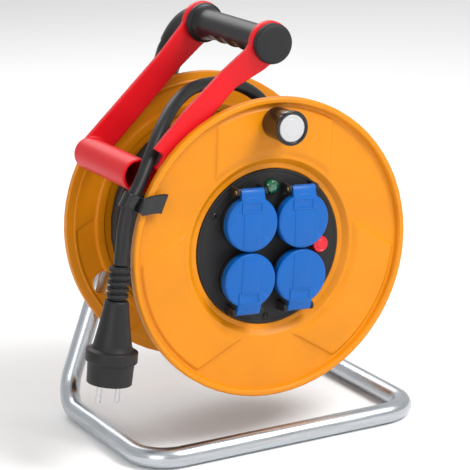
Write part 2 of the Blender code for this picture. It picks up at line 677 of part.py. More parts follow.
def build_panel(drum):
    panel = turned("socket_panel", [
        (0.0, -SEAT_OUT - GAP), (PANEL_R, -SEAT_OUT - GAP), (PANEL_R, -PANEL_OUT + 0.0005),
        (PANEL_R - 0.0005, -PANEL_OUT), (0.0, -PANEL_OUT)], black(), drum, steps=36,
        phase=math.radians(3.1))
    ears = []
    ear_r = KNUCKLE_R + 0.0002
    for _, x, z, above in socket_places():
        axis_z = z + (HINGE_REACH if above else -HINGE_REACH)
        for side in (-1, 1):
            outline = [(-PANEL_OUT + 0.0006, axis_z - ear_r)]
            outline += circle(ear_r, 4, (-HINGE_OUT, axis_z), -math.pi / 2, -math.pi)
            outline += [(-PANEL_OUT + 0.0006, axis_z + ear_r)]
            low, high = sorted((x + side * EAR_IN, x + side * EAR_OUT))
            ears.append(prism("ear", outline, black(), low, high, drum, axis="X"))
    join(panel, *ears)
    holes = []
    for _, x, z, above in socket_places():
        axis_z = z + (HINGE_REACH if above else -HINGE_REACH)
        holes.append(rod("hole", (x, -0.1, z), (x, 0.0, z), SOCKET_R + GAP, black(), drum, 20))
        holes.append(rod("hole", (x - 0.02, -HINGE_OUT, axis_z), (x + 0.02, -HINGE_OUT, axis_z),
                         HINGE_PIN_R + GAP, black(), drum, 8))
    holes.append(rod("hole", (0, -0.1, LENS_Z), (0, 0.0, LENS_Z), LENS_STEM_R + GAP, black(), drum))
    holes.append(rod("hole", (BUTTON_X, -0.1, 0), (BUTTON_X, 0.0, 0), BUTTON_R + GAP, black(), drum))
    holes += screw_holes(drum, SCREW_ANGLES, -0.1, 0.0, SCREW_R + GAP)
    cut(panel, *holes)

    lens = turned("indicator_lens", [
        (0.0, -SEAT_OUT - 0.0006), (LENS_STEM_R, -SEAT_OUT - 0.0006), (LENS_STEM_R, -PANEL_OUT - GAP),
        (LENS_R, -PANEL_OUT - GAP), (LENS_R, -0.0740), (0.0062, -0.0760), (0.0042, -0.0775),
        (0.0, -0.0783)], material("green_lens", (0.0, 0.14, 0.055), 0.1), drum, steps=SMALL)
    lens.location = (0.0, 0.0, LENS_Z)
    button = turned("reset_button", [
        (0.0, -0.0640), (BUTTON_R, -0.0640), (BUTTON_R, -0.0792), (BUTTON_R - 0.001, -0.0800),
        (0.0, -0.0800)], red(), drum, steps=20)
    button.location = (BUTTON_X, 0.0, 0.0)
    box("thermal_cutout", (BUTTON_X - 0.0078, -0.0600, -0.0092),
        (BUTTON_X + 0.0078, -0.0360, 0.0092), black(), drum)


def build_sockets(drum):
    insert_mesh = None
    for name, x, z, _ in socket_places():
        if insert_mesh is None:
            insert = turned("socket_insert_" + name, [
                (0.0, -SOCKET_BACK), (SOCKET_R, -SOCKET_BACK), (SOCKET_R, -PANEL_OUT - GAP),
                (COLLAR_BASE_R, -PANEL_OUT - GAP), (COLLAR_BASE_R, -COLLAR_BASE_OUT),
                (COLLAR_R, -COLLAR_BASE_OUT), (COLLAR_R, -COLLAR_OUT), (WELL_R, -COLLAR_OUT),
                (WELL_R, -COLLAR_OUT + WELL_DEPTH), (0.0, -COLLAR_OUT + WELL_DEPTH)],
                black(), None, steps=20)
            contacts = [rod("hole", (side * 0.0095, -0.08, 0), (side * 0.0095, -SOCKET_BACK - 0.004, 0),
                            0.0026, black(), None, 10) for side in (-1, 1)]
            cut(insert, *contacts)
            insert.parent = drum
            insert_mesh = insert.data
        else:
            insert = bpy.data.objects.new("socket_insert_" + name, insert_mesh)
            bpy.context.scene.collection.objects.link(insert)
            insert.parent = drum
        insert.location = (x, 0.0, z)


def lid_mesh():
    """A lid with its tab and knuckle; its origin is on the hinge axis and it hangs down."""
    lid = turned("lid", [
        (0.0, HINGE_OUT - LID_OUT), (LID_R - 0.0015, HINGE_OUT - LID_OUT),
        (LID_R, HINGE_OUT - LID_OUT + 0.0015), (LID_R, LID_SKIRT), (LID_R - 0.0015, LID_SKIRT),
        (LID_R - 0.0015, -LID_FACE), (0.0, -LID_FACE)], blue(), steps=26)
    lid.location = (0.0, 0.0, -HINGE_REACH)
    tab = box("tab", (-TAB_HALF, -0.0050, -0.0150), (TAB_HALF, -0.0014, 0.0), blue())
    knuckle = rod("knuckle", (-0.0093, 0, 0), (TAB_HALF, 0, 0), KNUCKLE_R, blue(), sides=14)
    crown = rod("crown", (-TAB_HALF, -0.0014, 0), (TAB_HALF, -0.0014, 0), KNUCKLE_R, blue(), sides=14)
    trim = box("trim", (-0.02, -0.0034, -0.0045), (-0.0093, 0.01, 0.01), blue())
    bore = rod("bore", (-0.02, 0, 0), (0.02, 0, 0), HINGE_PIN_R + GAP, blue(), sides=10)
    bpy.context.view_layer.update()
    join(lid, tab, crown)
    cut(lid, trim)
    join(lid, knuckle)
    cut(lid, bore)
    mesh = lid.data
    mesh.transform(Matrix.Translation((0.0, 0.0, -HINGE_REACH)))
    bpy.data.objects.remove(lid, do_unlink=True)
    return mesh


def spring_mesh():
    """A torsion spring's coils, wound round the hinge pin."""
    curve = bpy.data.curves.new("spring", "CURVE")
    curve.dimensions = "3D"
    curve.bevel_depth = SPRING_WIRE_R
    curve.bevel_resolution = 0
    curve.use_fill_caps = True
    count = int(SPRING_TURNS * 8)
    spline = curve.splines.new("POLY")
    spline.points.add(count)
    for i in range(count + 1):
        angle = math.tau * i / 8
        x = -TAB_HALF + 0.0006 + SPRING_LENGTH * i / count
        spline.points[i].co = (x, SPRING_R * math.sin(angle), SPRING_R * math.cos(angle), 1.0)
    holder = bpy.data.objects.new("spring", curve)
    bpy.context.scene.collection.objects.link(holder)
    graph = bpy.context.evaluated_depsgraph_get()
    mesh = bpy.data.meshes.new_from_object(holder.evaluated_get(graph), depsgraph=graph)
    bpy.data.objects.remove(holder, do_unlink=True)
    mesh.materials.clear()
    mesh.materials.append(steel())
    return mesh


def build_lids(drum):
    lid, spring = lid_mesh(), spring_mesh()
    for name, x, z, above in socket_places():
        flip = 0.0 if above else math.pi
        axis_z = z + (HINGE_REACH if above else -HINGE_REACH)
        hinge = bpy.data.objects.new("hinge_" + name, None)
        bpy.context.scene.collection.objects.link(hinge)
        hinge.parent = drum
        hinge.location = (x, -HINGE_OUT, axis_z)
        hinge.rotation_euler = (0.0, flip, 0.0)
        for word, mesh in (("lid_", lid), ("lid_spring_", spring)):
            piece = bpy.data.objects.new(word + name, mesh)
            bpy.context.scene.collection.objects.link(piece)
            piece.parent = hinge
        rod("hinge_pin_" + name, (-EAR_OUT + GAP, 0, 0), (EAR_OUT - GAP, 0, 0), HINGE_PIN_R,
            brass(), hinge, sides=8)


# ---------------------------------------------------------------- cable end, plug and clip
def smooth_route(points, spacing):
    """Points read from a smooth curve through the route's own points."""
    dense = []
    padded = [points[0] * 2 - points[1]] + points + [points[-1] * 2 - points[-2]]
    for a, b, c, d in zip(padded, padded[1:], padded[2:], padded[3:]):
        for i in range(12):
            t = i / 12
            dense.append(((b * 2) + (c - a) * t + (a * 2 - b * 5 + c * 4 - d) * t * t
                          + (b * 3 - a - c * 3 + d) * t * t * t) / 2)
    dense.append(points[-1])
    total = sum((q - p).length for p, q in zip(dense, dense[1:]))
    count = round(total / spacing)
    placed, walked, step = [dense[0]], 0.0, total / count
    for p, q in zip(dense, dense[1:]):
        length = (q - p).length
        while walked + length >= step * len(placed) and len(placed) < count:
            placed.append(p.lerp(q, (step * len(placed) - walked) / length))
        walked += length
    placed.append(dense[-1])
    return placed


def build_cable_end():
    curve = bpy.data.curves.new("cable_tail", "CURVE")
    curve.dimensions = "3D"
    curve.bevel_depth = CABLE_R
    curve.bevel_resolution = 2
    curve.use_fill_caps = True
    route = smooth_route([drum_point(*p) for p in TAIL_ROUTE], 4 * CABLE_R)
    spline = curve.splines.new("POLY")
    spline.points.add(len(route) - 1)
    for point, place in zip(spline.points, route):
        point.co = (*place, 1.0)
    tail = bpy.data.objects.new("cable_tail", curve)
    bpy.context.scene.collection.objects.link(tail)
    curve.materials.append(rubber())


def build_plug():
    """The plug hangs from the end of the cable; its own axis is Y until it is turned."""
    turn = PLUG_AXIS.to_track_quat("Y", "Z").to_euler()
    place = drum_point(*PLUG_TOP)
    boot = [(0.0, 0.0), (0.0078, 0.0)]
    for i in range(BOOT_RIBS):
        y = 0.0015 + i * 0.0062
        boot += [(0.0102, y), (0.0102, y + 0.0034), (0.0080, y + 0.0042), (0.0080, y + 0.0056)]
    boot += [(0.0102, BOOT_LENGTH - 0.0005), (0.0102, BOOT_LENGTH), (0.0, BOOT_LENGTH)]
    start = BOOT_LENGTH + GAP
    body = [(0.0, start), (0.0108, start), (0.0118, start + 0.006), (0.0182, start + 0.043),
            (0.0196, start + 0.0455), (0.0245, start + 0.0470), (0.0245, start + 0.0570),
            (0.0228, start + 0.0585), (0.0220, start + 0.0590), (0.0210, PLUG_LENGTH),
            (0.0, PLUG_LENGTH)]
    pieces = [turned("plug_boot", boot, rubber(), steps=14),
              turned("plug_body", body, rubber(), steps=20)]
    holes = [rod("hole", (0, PLUG_LENGTH - PIN_ROOT, side * PIN_SPACING / 2),
                 (0, PLUG_LENGTH + 0.01, side * PIN_SPACING / 2), PIN_R + GAP, rubber(), None, 12)
             for side in (-1, 1)]
    cut(pieces[1], *holes)
    for number, side in ((1, -1), (2, 1)):
        pin = turned("plug_pin_" + str(number), [
            (0.0, PLUG_LENGTH - PIN_ROOT + GAP), (PIN_R, PLUG_LENGTH - PIN_ROOT + GAP),
            (PIN_R, PLUG_LENGTH + PIN_LENGTH - 0.0015), (PIN_R - 0.0012, PLUG_LENGTH + PIN_LENGTH),
            (0.0, PLUG_LENGTH + PIN_LENGTH)], steel(), steps=12)
        pin.data.transform(Matrix.Translation((0.0, 0.0, side * PIN_SPACING / 2)))
        pieces.append(pin)
    for piece in pieces:
        piece.location = place
        piece.rotation_euler = turn


def build_rim_clip():
    """A spring clip that hooks over the front flange's rim and holds the cable in its ring."""
    at = Vector(TAIL_ROUTE[CLIP_POINT])
    radial = Vector((at.x, 0.0, at.z)).normalized()
    half = CLIP_HEIGHT / 2
    def plate(low, high, height=half):
        corners = [(low[0], low[1]), (high[0], low[1]), (high[0], high[1]), (low[0], high[1])]
        return prism("plate", corners, black(), -height, height)
    clip = plate((FLANGE_R + 0.0008, -0.0850), (FLANGE_R + 0.0030, -0.0690))
    clip.name = "rim_clip"
    tab = plate((CLIP_TAB_R, -0.0850), (FLANGE_R + 0.0030, -0.0827), half + 0.002)
    hook = plate((0.1400, -0.0732), (FLANGE_R + 0.0030, -0.0705), half - 0.002)
    join(clip, tab, hook)
    across = Vector((0.0, 1.0, 0.0)).cross(radial)
    frame = Matrix((radial, across, Vector((0.0, 1.0, 0.0)))).transposed().to_4x4()
    clip.data.transform(frame)
    along = (Vector(TAIL_ROUTE[CLIP_POINT + 1]) - Vector(TAIL_ROUTE[CLIP_POINT - 1])).normalized()
    join(clip, rod("ring", at - along * half, at + along * half, CABLE_R + CLIP_WALL, black(),
                   sides=24))
    near = [p for p in smooth_route([Vector(q) for q in TAIL_ROUTE], 4 * CABLE_R)
            if (p - at).length < 0.03]
    cut(clip, swept("bore", near, (CABLE_R + CLIP_SLACK,), black(), sides=20))
    clip.location = (0.0, DRUM_Y, AXLE_Z)


def main():
    for old in list(bpy.data.objects):
        bpy.data.objects.remove(old, do_unlink=True)
    drum = bpy.data.objects.new("drum_axis", None)
    bpy.context.scene.collection.objects.link(drum)
    drum.location = (0.0, DRUM_Y, AXLE_Z)
    drum.rotation_euler = (0.0, DRUM_TURN, 0.0)
    bpy.context.view_layer.update()
    build_frame()
    build_handle()
    build_pilot()
    build_flanges(drum)
    build_hub(drum)
    build_crank(drum)
    build_panel(drum)
    build_sockets(drum)
    build_lids(drum)
    build_cable_end()
    build_plug()
    build_rim_clip()


main()
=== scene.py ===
"""Looks of the extension cord reel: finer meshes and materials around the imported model.

Metres, +Z up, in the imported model's own frame.  Drum pieces are made in the drum's own axes,
with the axle along Y and the socket side at -Y, and then turned into place.
"""
import math

import bmesh
import bpy
from mathutils import Matrix, Vector, noise


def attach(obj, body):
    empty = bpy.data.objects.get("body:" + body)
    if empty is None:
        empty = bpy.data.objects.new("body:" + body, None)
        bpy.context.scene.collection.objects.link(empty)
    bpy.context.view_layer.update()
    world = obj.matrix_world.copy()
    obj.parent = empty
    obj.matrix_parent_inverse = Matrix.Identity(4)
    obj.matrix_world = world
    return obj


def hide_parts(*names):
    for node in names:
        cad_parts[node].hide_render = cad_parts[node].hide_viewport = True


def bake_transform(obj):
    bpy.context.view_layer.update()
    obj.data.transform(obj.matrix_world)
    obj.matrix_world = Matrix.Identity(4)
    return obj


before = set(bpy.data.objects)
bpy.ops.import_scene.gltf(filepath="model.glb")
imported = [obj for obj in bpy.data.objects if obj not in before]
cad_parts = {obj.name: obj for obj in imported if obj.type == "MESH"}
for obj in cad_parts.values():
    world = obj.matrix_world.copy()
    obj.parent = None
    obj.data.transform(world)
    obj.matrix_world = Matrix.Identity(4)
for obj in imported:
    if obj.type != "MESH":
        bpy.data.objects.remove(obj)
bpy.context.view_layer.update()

# ---------------------------------------------------------------- places and sizes
AXLE_Z = 0.1905
DRUM_Y = -0.00525
DRUM_TURN = math.radians(4.3)
MIDDLE = Matrix.Translation((0.0, DRUM_Y, AXLE_Z))      # middle of the drum, not turned
DRUM = MIDDLE @ Matrix.Rotation(DRUM_TURN, 4, "Y")

CRANK_R = 0.1205                # crank pin and grip hole, from the axle
GRIP_HOLE_ANGLE = 211
BARREL_R = 0.0705
CABLE_R = 0.00625
ARM_HALF = 0.061               # half width of a flange's raised arm
ARM_ANGLES = (90, 210, 330)
SCREW_ANGLES = (30, 150, 270)
SCREW_CIRCLE_R = 0.0680
SOCKET_HALF = 0.0273           # a socket's middle, from the panel's middle, both ways
HINGE_REACH = 0.0303           # a lid's hinge axis, from the middle of the lid
HINGE_OUT = 0.0848
KNUCKLE_R = 0.0036
EAR_IN, EAR_OUT = 0.0128, 0.0160        # a hinge ear's two faces, from the lid's middle
PANEL_OUT = 0.0722
PANEL_R = 0.0752
LENS_Z = 0.0588
BUTTON_X = 0.0528
CONTACT_X = 0.0095             # half the spacing of a plug's pins

TUBE_R = 0.010
TUBE_AXIS_Z = 0.00966
BASE_X = 0.1444
BASE_FRONT_Y = -0.0975
LEG_Y = 0.1055
HANDLE_X = 0.0035
HANDLE_Z = 0.1965
RIGHT_LEG_TOP = 0.045
PILOT_ANGLE = math.radians(222.5)
PILOT_LENGTH = 0.1699

# the free end of the cable, measured from the middle of the drum
TAIL_ROUTE = [
    (0.0960, 0.0498, 0.0100),
    (0.1046, 0.0500, 0.0383), (0.0875, 0.0505, 0.0750), (0.0640, 0.0505, 0.1100),
    (0.0430, 0.0480, 0.1275), (0.0180, 0.0400, 0.1375), (-0.0073, 0.0300, 0.1412),
    (-0.0320, 0.0145, 0.1420), (-0.0545, -0.0050, 0.1390), (-0.0755, -0.0250, 0.1315),
    (-0.0950, -0.0430, 0.1185), (-0.1082, -0.0540, 0.1045), (-0.1195, -0.0612, 0.0895),
    (-0.1312, -0.0676, 0.0745), (-0.1405, -0.0716, 0.0645), (-0.1448, -0.0738, 0.0572),
    (-0.1510, -0.0768, 0.0400), (-0.1542, -0.0785, 0.0240), (-0.1570, -0.0790, 0.0085),
]
NOTCH_POINT = 12               # the route's point inside the guide's notch
CLIP_POINT = 14                # the route's point inside the rim clip
PLUG_TOP = (-0.1572, -0.0790, 0.0072)
PLUG_AXIS = Vector((-0.149, 0.0, -0.989)).normalized()
BOOT_LENGTH = 0.0315
PLUG_LENGTH = 0.1105


# ---------------------------------------------------------------- materials
def node_material(name):
    made = bpy.data.materials.new(name)
    made.use_nodes = True
    tree = made.node_tree
    return made, tree, tree.nodes["Principled BSDF"]


def add(tree, kind, links=(), **values):
    """A node; values set its properties or, by input name, its sockets."""
    node = tree.nodes.new(kind)
    for key, value in values.items():
        if key in node.inputs:
            node.inputs[key].default_value = value
        else:
            setattr(node, key.lower(), value)
    for target, source in links:
        tree.links.new(source, node.inputs[target])
    return node


def ramp(tree, source, stops):
    node = tree.nodes.new("ShaderNodeValToRGB")
    tree.links.new(source, node.inputs["Fac"])
    elements = node.color_ramp.elements
    while len(elements) < len(stops):
        elements.new(0.5)
    for element, (place, colour) in zip(elements, stops):
        element.position = place
        element.color = (*colour, 1.0) if len(colour) == 3 else colour
    return node.outputs["Color"]


def remap(tree, source, low, high, new_low, new_high):
    node = tree.nodes.new("ShaderNodeMapRange")
    tree.links.new(source, node.inputs["Value"])
    for key, value in (("From Min", low), ("From Max", high), ("To Min", new_low),
                       ("To Max", new_high)):
        node.inputs[key].default_value = value
    return node.outputs["Result"]


def moulded(name, colour, roughness, grain=900.0, grain_height=0.00003, shift=0.06, coat=0.0,
            scatter=0.0, edge_sheen=0.25):
    """Moulded plastic: an even colour that drifts slightly, a fine grain, and a painted highlight that makes
    convex edges paler.
    """
    made, tree, shader = node_material(name)
    place = add(tree, "ShaderNodeTexCoord").outputs["Object"]
    drift = add(tree, "ShaderNodeTexNoise", [("Vector", place)], Scale=18.0, Detail=3.0)
    fine = add(tree, "ShaderNodeTexNoise", [("Vector", place)], Scale=grain, Detail=2.0)
    dark = tuple(c * (1 - shift) for c in colour)
    light = tuple(min(1.0, c * (1 + shift)) for c in colour)
    tone = ramp(tree, drift.outputs["Fac"], [(0.3, dark), (0.7, light)])
    # painted highlight: convex edges, found by their pointiness, are mixed towards a paler copy of the
    # colour
    edge = remap(tree, add(tree, "ShaderNodeNewGeometry").outputs["Pointiness"], 0.53, 0.62, 0.0, edge_sheen)
    sheen_tone = tuple(min(1.0, c * 1.25 + 0.03) for c in colour)
    mixed = add(tree, "ShaderNodeMix", data_type="RGBA")
    tree.links.new(edge, mixed.inputs["Factor"])
    tree.links.new(tone, mixed.inputs[6])
    mixed.inputs[7].default_value = (*sheen_tone, 1.0)
    tree.links.new(mixed.outputs[2], shader.inputs["Base Color"])
    rough = remap(tree, drift.outputs["Fac"], 0.25, 0.75, roughness - 0.04, roughness + 0.05)
    tree.links.new(rough, shader.inputs["Roughness"])
    bump = add(tree, "ShaderNodeBump", [("Height", fine.outputs["Fac"])], Strength=0.6,
               Distance=grain_height)
    tree.links.new(bump.outputs["Normal"], shader.inputs["Normal"])
    shader.inputs["Coat Weight"].default_value = coat
    shader.inputs["Coat Roughness"].default_value = 0.2
    shader.inputs["Specular IOR Level"].default_value = 0.3
    shader.inputs["Subsurface Weight"].default_value = scatter
    shader.inputs["Subsurface Scale"].default_value = 0.002
    return made


def metal(name, colour, roughness, streak=(1.0, 1.0, 1.0), spread=0.12, height=0.00002,
          coords="Object", scale=160.0):
    """Metal with drawn streaks; streak stretches them along the coordinate with the small number."""
    made, tree, shader = node_material(name)
    place = add(tree, "ShaderNodeTexCoord").outputs[coords]
    stretched = add(tree, "ShaderNodeMapping", [("Vector", place)], Scale=streak)
    lines = add(tree, "ShaderNodeTexNoise", [("Vector", stretched.outputs["Vector"])],
                Scale=scale, Detail=4.0, Roughness=0.6)
    cloud = add(tree, "ShaderNodeTexNoise", [("Vector", place)], Scale=22.0, Detail=3.0)
    both = add(tree, "ShaderNodeMath", [(0, lines.outputs["Fac"]), (1, cloud.outputs["Fac"])],
               operation="ADD")
    dark = tuple(c * (1 - spread) for c in colour)
    light = tuple(min(1.0, c * (1 + spread)) for c in colour)
    tree.links.new(ramp(tree, remap(tree, both.outputs[0], 0.7, 1.3, 0.0, 1.0),
                        [(0.0, dark), (1.0, light)]), shader.inputs["Base Color"])
    tree.links.new(remap(tree, both.outputs[0], 0.7, 1.3, roughness - 0.07, roughness + 0.1),
                   shader.inputs["Roughness"])
    bump = add(tree, "ShaderNodeBump", [("Height", lines.outputs["Fac"])], Strength=0.5,
               Distance=height)
    tree.links.new(bump.outputs["Normal"], shader.inputs["Normal"])
    shader.inputs["Metallic"].default_value = 1.0
    return made


def lens_material():
    """The indicator's green lens: clear, tinted, with fine prisms inside."""
    made, tree, shader = node_material("lens_green")
    place = add(tree, "ShaderNodeTexCoord").outputs["Object"]
    cells = add(tree, "ShaderNodeTexVoronoi", [("Vector", place)], Scale=700.0)
    tree.links.new(ramp(tree, cells.outputs["Distance"],
                        [(0.0, (0.0, 0.20, 0.085)), (1.0, (0.0, 0.045, 0.02))]),
                   shader.inputs["Base Color"])
    shader.inputs["Roughness"].default_value = 0.08
    shader.inputs["Coat Weight"].default_value = 1.0
    shader.inputs["Coat Roughness"].default_value = 0.03
    shader.inputs["Transmission Weight"].default_value = 0.25
    return made


def floor_material():
    made, tree, shader = node_material("floor_paper")
    place = add(tree, "ShaderNodeTexCoord").outputs["Object"]
    cloud = add(tree, "ShaderNodeTexNoise", [("Vector", place)], Scale=3.0)
    tree.links.new(ramp(tree, cloud.outputs["Fac"],
                        [(0.0, (0.86, 0.86, 0.86)), (1.0, (0.88, 0.88, 0.88))]),
                   shader.inputs["Base Color"])
    shader.inputs["Roughness"].default_value = 0.9
    return made


YELLOW = moulded("plastic_yellow", (0.62, 0.208, 0.001), 0.40, scatter=0.03)
BLACK = moulded("plastic_black", (0.010, 0.010, 0.011), 0.40, grain=1300.0)
PANEL_BLACK = moulded("plastic_panel", (0.012, 0.012, 0.013), 0.56, grain=2200.0,
                      grain_height=0.00012)
GLOSS_BLACK = moulded("plastic_gloss", (0.008, 0.008, 0.009), 0.2, grain=500.0, coat=0.3)
RUBBER = moulded("rubber_plug", (0.011, 0.011, 0.012), 0.48, grain=1500.0, grain_height=0.00006)
CABLE = moulded("rubber_cable", (0.012, 0.012, 0.013), 0.42, grain=700.0, grain_height=0.00006)
RED = moulded("plastic_red", (0.60, 0.003, 0.009), 0.42)
BUTTON_RED = moulded("plastic_button", (0.66, 0.008, 0.020), 0.3, coat=0.2)
BLUE = moulded("plastic_blue", (0.0, 0.093, 0.37), 0.40)
CREAM = moulded("plastic_cream", (0.70, 0.68, 0.62), 0.4)
LABEL = moulded("label_silver", (0.46, 0.46, 0.47), 0.24, grain=300.0, coat=0.4, edge_sheen=0.0)
ZINC = metal("zinc_tube", (0.50, 0.53, 0.56), 0.27, streak=(60.0, 1.2, 1.0), coords="UV",
             scale=4.0, height=0.00004)
STEEL = metal("zinc_small", (0.55, 0.56, 0.57), 0.3)
BRASS = metal("brass_pin", (0.62, 0.44, 0.18), 0.3)
LENS = lens_material()
FLOOR = floor_material()


# ---------------------------------------------------------------- mesh helpers
def piece(name, bm, finish, matrix=None, body=None, nodes=(), smooth_angle=35):
    """A finished piece from a bmesh, placed, given its body and the CAD nodes it stands for."""
    bmesh.ops.recalc_face_normals(bm, faces=bm.faces)
    mesh = bpy.data.meshes.new(name)
    bm.to_mesh(mesh)
    bm.free()
    if matrix is not None:
        mesh.transform(matrix)
    mesh.materials.append(finish)
    mesh.shade_smooth()
    mesh.set_sharp_from_angle(angle=math.radians(smooth_angle))
    made = bpy.data.objects.new(name, mesh)
    bpy.context.scene.collection.objects.link(made)
    settle(made, body, nodes)
    return made


def settle(made, body=None, nodes=()):
    if body:
        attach(made, body)
    if nodes:
        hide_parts(*nodes)


def fillet(profile, radius, steps=3, closed=True):
    """A profile whose corners are rounded, each by no more than its sides allow."""
    points = [Vector((r, y)) for r, y in profile]
    count, out = len(points), []
    for i, p in enumerate(points):
        if not closed and i in (0, count - 1):
            out.append(p)
            continue
        a, b = points[i - 1], points[(i + 1) % count]
        on_axis = p.x < 1e-7
        turn = (p - a).angle(b - p, 0.0)
        reach = min(radius * math.tan(turn / 2), (p - a).length * 0.45, (b - p).length * 0.45)
        if on_axis or reach < 1e-5:
            out.append(p)
            continue
        first, last = p + (a - p).normalized() * reach, p + (b - p).normalized() * reach
        for k in range(steps + 1):
            t = k / steps
            out.append(first.lerp(p, t).lerp(p.lerp(last, t), t))
    return [(max(0.0, q.x), q.y) for q in out]


def lathe(profile, steps=96, bm=None, matrix=None):
    """A closed outline of (radius, y) points, spun about Y into a bmesh."""
    own = bmesh.new()
    rings = []
    for r, y in profile:
        if r < 1e-7:
            rings.append([own.verts.new((0.0, y, 0.0))])
        else:
            rings.append([own.verts.new((r * math.cos(math.tau * k / steps), y,
                                         r * math.sin(math.tau * k / steps)))
                          for k in range(steps)])
    for first, second in zip(rings, rings[1:] + rings[:1]):
        for k in range(steps):
            n = (k + 1) % steps
            corners = [first[k % len(first)], first[n % len(first)],
                       second[n % len(second)], second[k % len(second)]]
            unique = list(dict.fromkeys(corners))
            if len(unique) > 2:
                own.faces.new(unique)
    return merged(own, bm, matrix)


def merged(own, bm, matrix):
    if matrix is not None:
        bmesh.ops.transform(own, verts=own.verts, matrix=matrix)
    if bm is None:
        return own
    mesh = bpy.data.meshes.new("part")
    own.to_mesh(mesh)
    own.free()
    bm.from_mesh(mesh)
    bpy.data.meshes.remove(mesh)
    return bm


def plate(outline, low, high, bevel=0.0, bm=None, matrix=None, axis="Y"):
    """An outline of (x, z) points, extruded along Y (or of (y, z) points, along X), edges bevelled."""
    def place(a, b, depth):
        return (a, depth, b) if axis == "Y" else (depth, a, b)
    own = bmesh.new()
    lower = [own.verts.new(place(a, b, low)) for a, b in outline]
    upper = [own.verts.new(place(a, b, high)) for a, b in outline]
    own.faces.new(lower)
    own.faces.new(upper[::-1])
    skin(own, lower, upper)
    bmesh.ops.recalc_face_normals(own, faces=own.faces)
    if bevel:
        sharp = [e for e in own.edges if e.calc_face_angle(0.0) > math.radians(30)]
        bmesh.ops.bevel(own, geom=sharp, offset=bevel, segments=3, affect="EDGES",
                        profile=0.5, clamp_overlap=True)
    return merged(own, bm, matrix)


def skin(bm, first, second):
    """Faces between two rings that have the same number of points."""
    count = len(first)
    return [bm.faces.new((first[k], first[(k + 1) % count], second[(k + 1) % count], second[k]))
            for k in range(count)]


def rectangle(low, high):
    return [(low[0], low[1]), (high[0], low[1]), (high[0], high[1]), (low[0], high[1])]


def catmull(points, spacing):
    """Evenly spaced points on a smooth curve through the given ones."""
    points = [Vector(p) for p in points]
    dense = []
    padded = [points[0] * 2 - points[1]] + points + [points[-1] * 2 - points[-2]]
    for a, b, c, d in zip(padded, padded[1:], padded[2:], padded[3:]):
        for i in range(16):
            t = i / 16
            dense.append((b * 2 + (c - a) * t + (a * 2 - b * 5 + c * 4 - d) * t * t
                          + (b * 3 - a - c * 3 + d) * t ** 3) / 2)
    dense.append(points[-1])
    total = sum((q - p).length for p, q in zip(dense, dense[1:]))
    count = max(2, round(total / spacing))
    placed, walked, step = [dense[0]], 0.0, total / count
    for p, q in zip(dense, dense[1:]):
        length = (q - p).length
        while walked + length >= step * len(placed) and len(placed) < count:
            placed.append(p.lerp(q, (step * len(placed) - walked) / length))
        walked += length
    placed.append(dense[-1])
    return placed


def rounded(corners, radii, steps=14):
    """A path through corners, each inner corner rounded to its radius."""
    path = [corners[0]]
    for before, corner, after, radius in zip(corners, corners[1:], corners[2:], radii):
        into, out = (corner - before).normalized(), (after - corner).normalized()
        half = into.angle(out) / 2
        centre = corner + (out - into).normalized() * radius / math.cos(half)
        first = corner - into * radius * math.tan(half)
        axis = into.cross(out).normalized()
        for i in range(steps + 1):
            path.append(centre + Matrix.Rotation(2 * half * i / steps, 3, axis) @ (first - centre))
    path.append(corners[-1])
    return path


def sweep(path, radius, sides=24, bore=None, uv=False):
    """A tube along a path; radius is a number or a function of (share of the path, angle)."""
    path = [Vector(p) for p in path]
    steps = [(q - p).normalized() for p, q in zip(path, path[1:])]
    tangents = [(a + b).normalized() for a, b in zip(steps[:1] + steps, steps + steps[-1:])]
    high = Vector((0, 0, 1)) if abs(tangents[0].z) < 0.9 else Vector((0, 1, 0))
    high = (high - tangents[0] * high.dot(tangents[0])).normalized()
    lengths = [0.0]
    for p, q in zip(path, path[1:]):
        lengths.append(lengths[-1] + (q - p).length)
    own = bmesh.new()
    layer = own.loops.layers.uv.new("UVMap") if uv else None
    shells = []
    for size in (radius, bore) if bore else (radius,):
        rings, last, up = [], tangents[0], high
        for point, along, walked in zip(path, tangents, lengths):
            up = last.rotation_difference(along) @ up
            last = along
            side = along.cross(up)
            ring = []
            for k in range(sides):
                angle = math.tau * k / sides
                r = size(walked / lengths[-1], angle) if callable(size) else size
                ring.append(own.verts.new(point + (up * math.cos(angle) + side * math.sin(angle)) * r))
            rings.append(ring)
        shells.append(rings)
    for rings in shells:
        for i, (first, second) in enumerate(zip(rings, rings[1:])):
            for k, face in enumerate(skin(own, first, second)):
                if uv:
                    for loop, (u, v) in zip(face.loops, ((k, i), (k + 1, i), (k + 1, i + 1), (k, i + 1))):
                        loop[layer].uv = (u / sides, lengths[v])
    if bore:
        for end in (0, -1):
            skin(own, shells[0][end], shells[1][end])
    else:
        own.faces.new(shells[0][0])
        own.faces.new(shells[0][-1])
    return own


def local(angle_degrees, radius):
    angle = math.radians(angle_degrees)
    return radius * math.cos(angle), radius * math.sin(angle)


def smooth_step(low, high, x):
    t = min(1.0, max(0.0, (x - low) / (high - low)))
    return t * t * (3 - 2 * t)


def from_middle(x, y, z):
    return MIDDLE @ Vector((x, y, z))


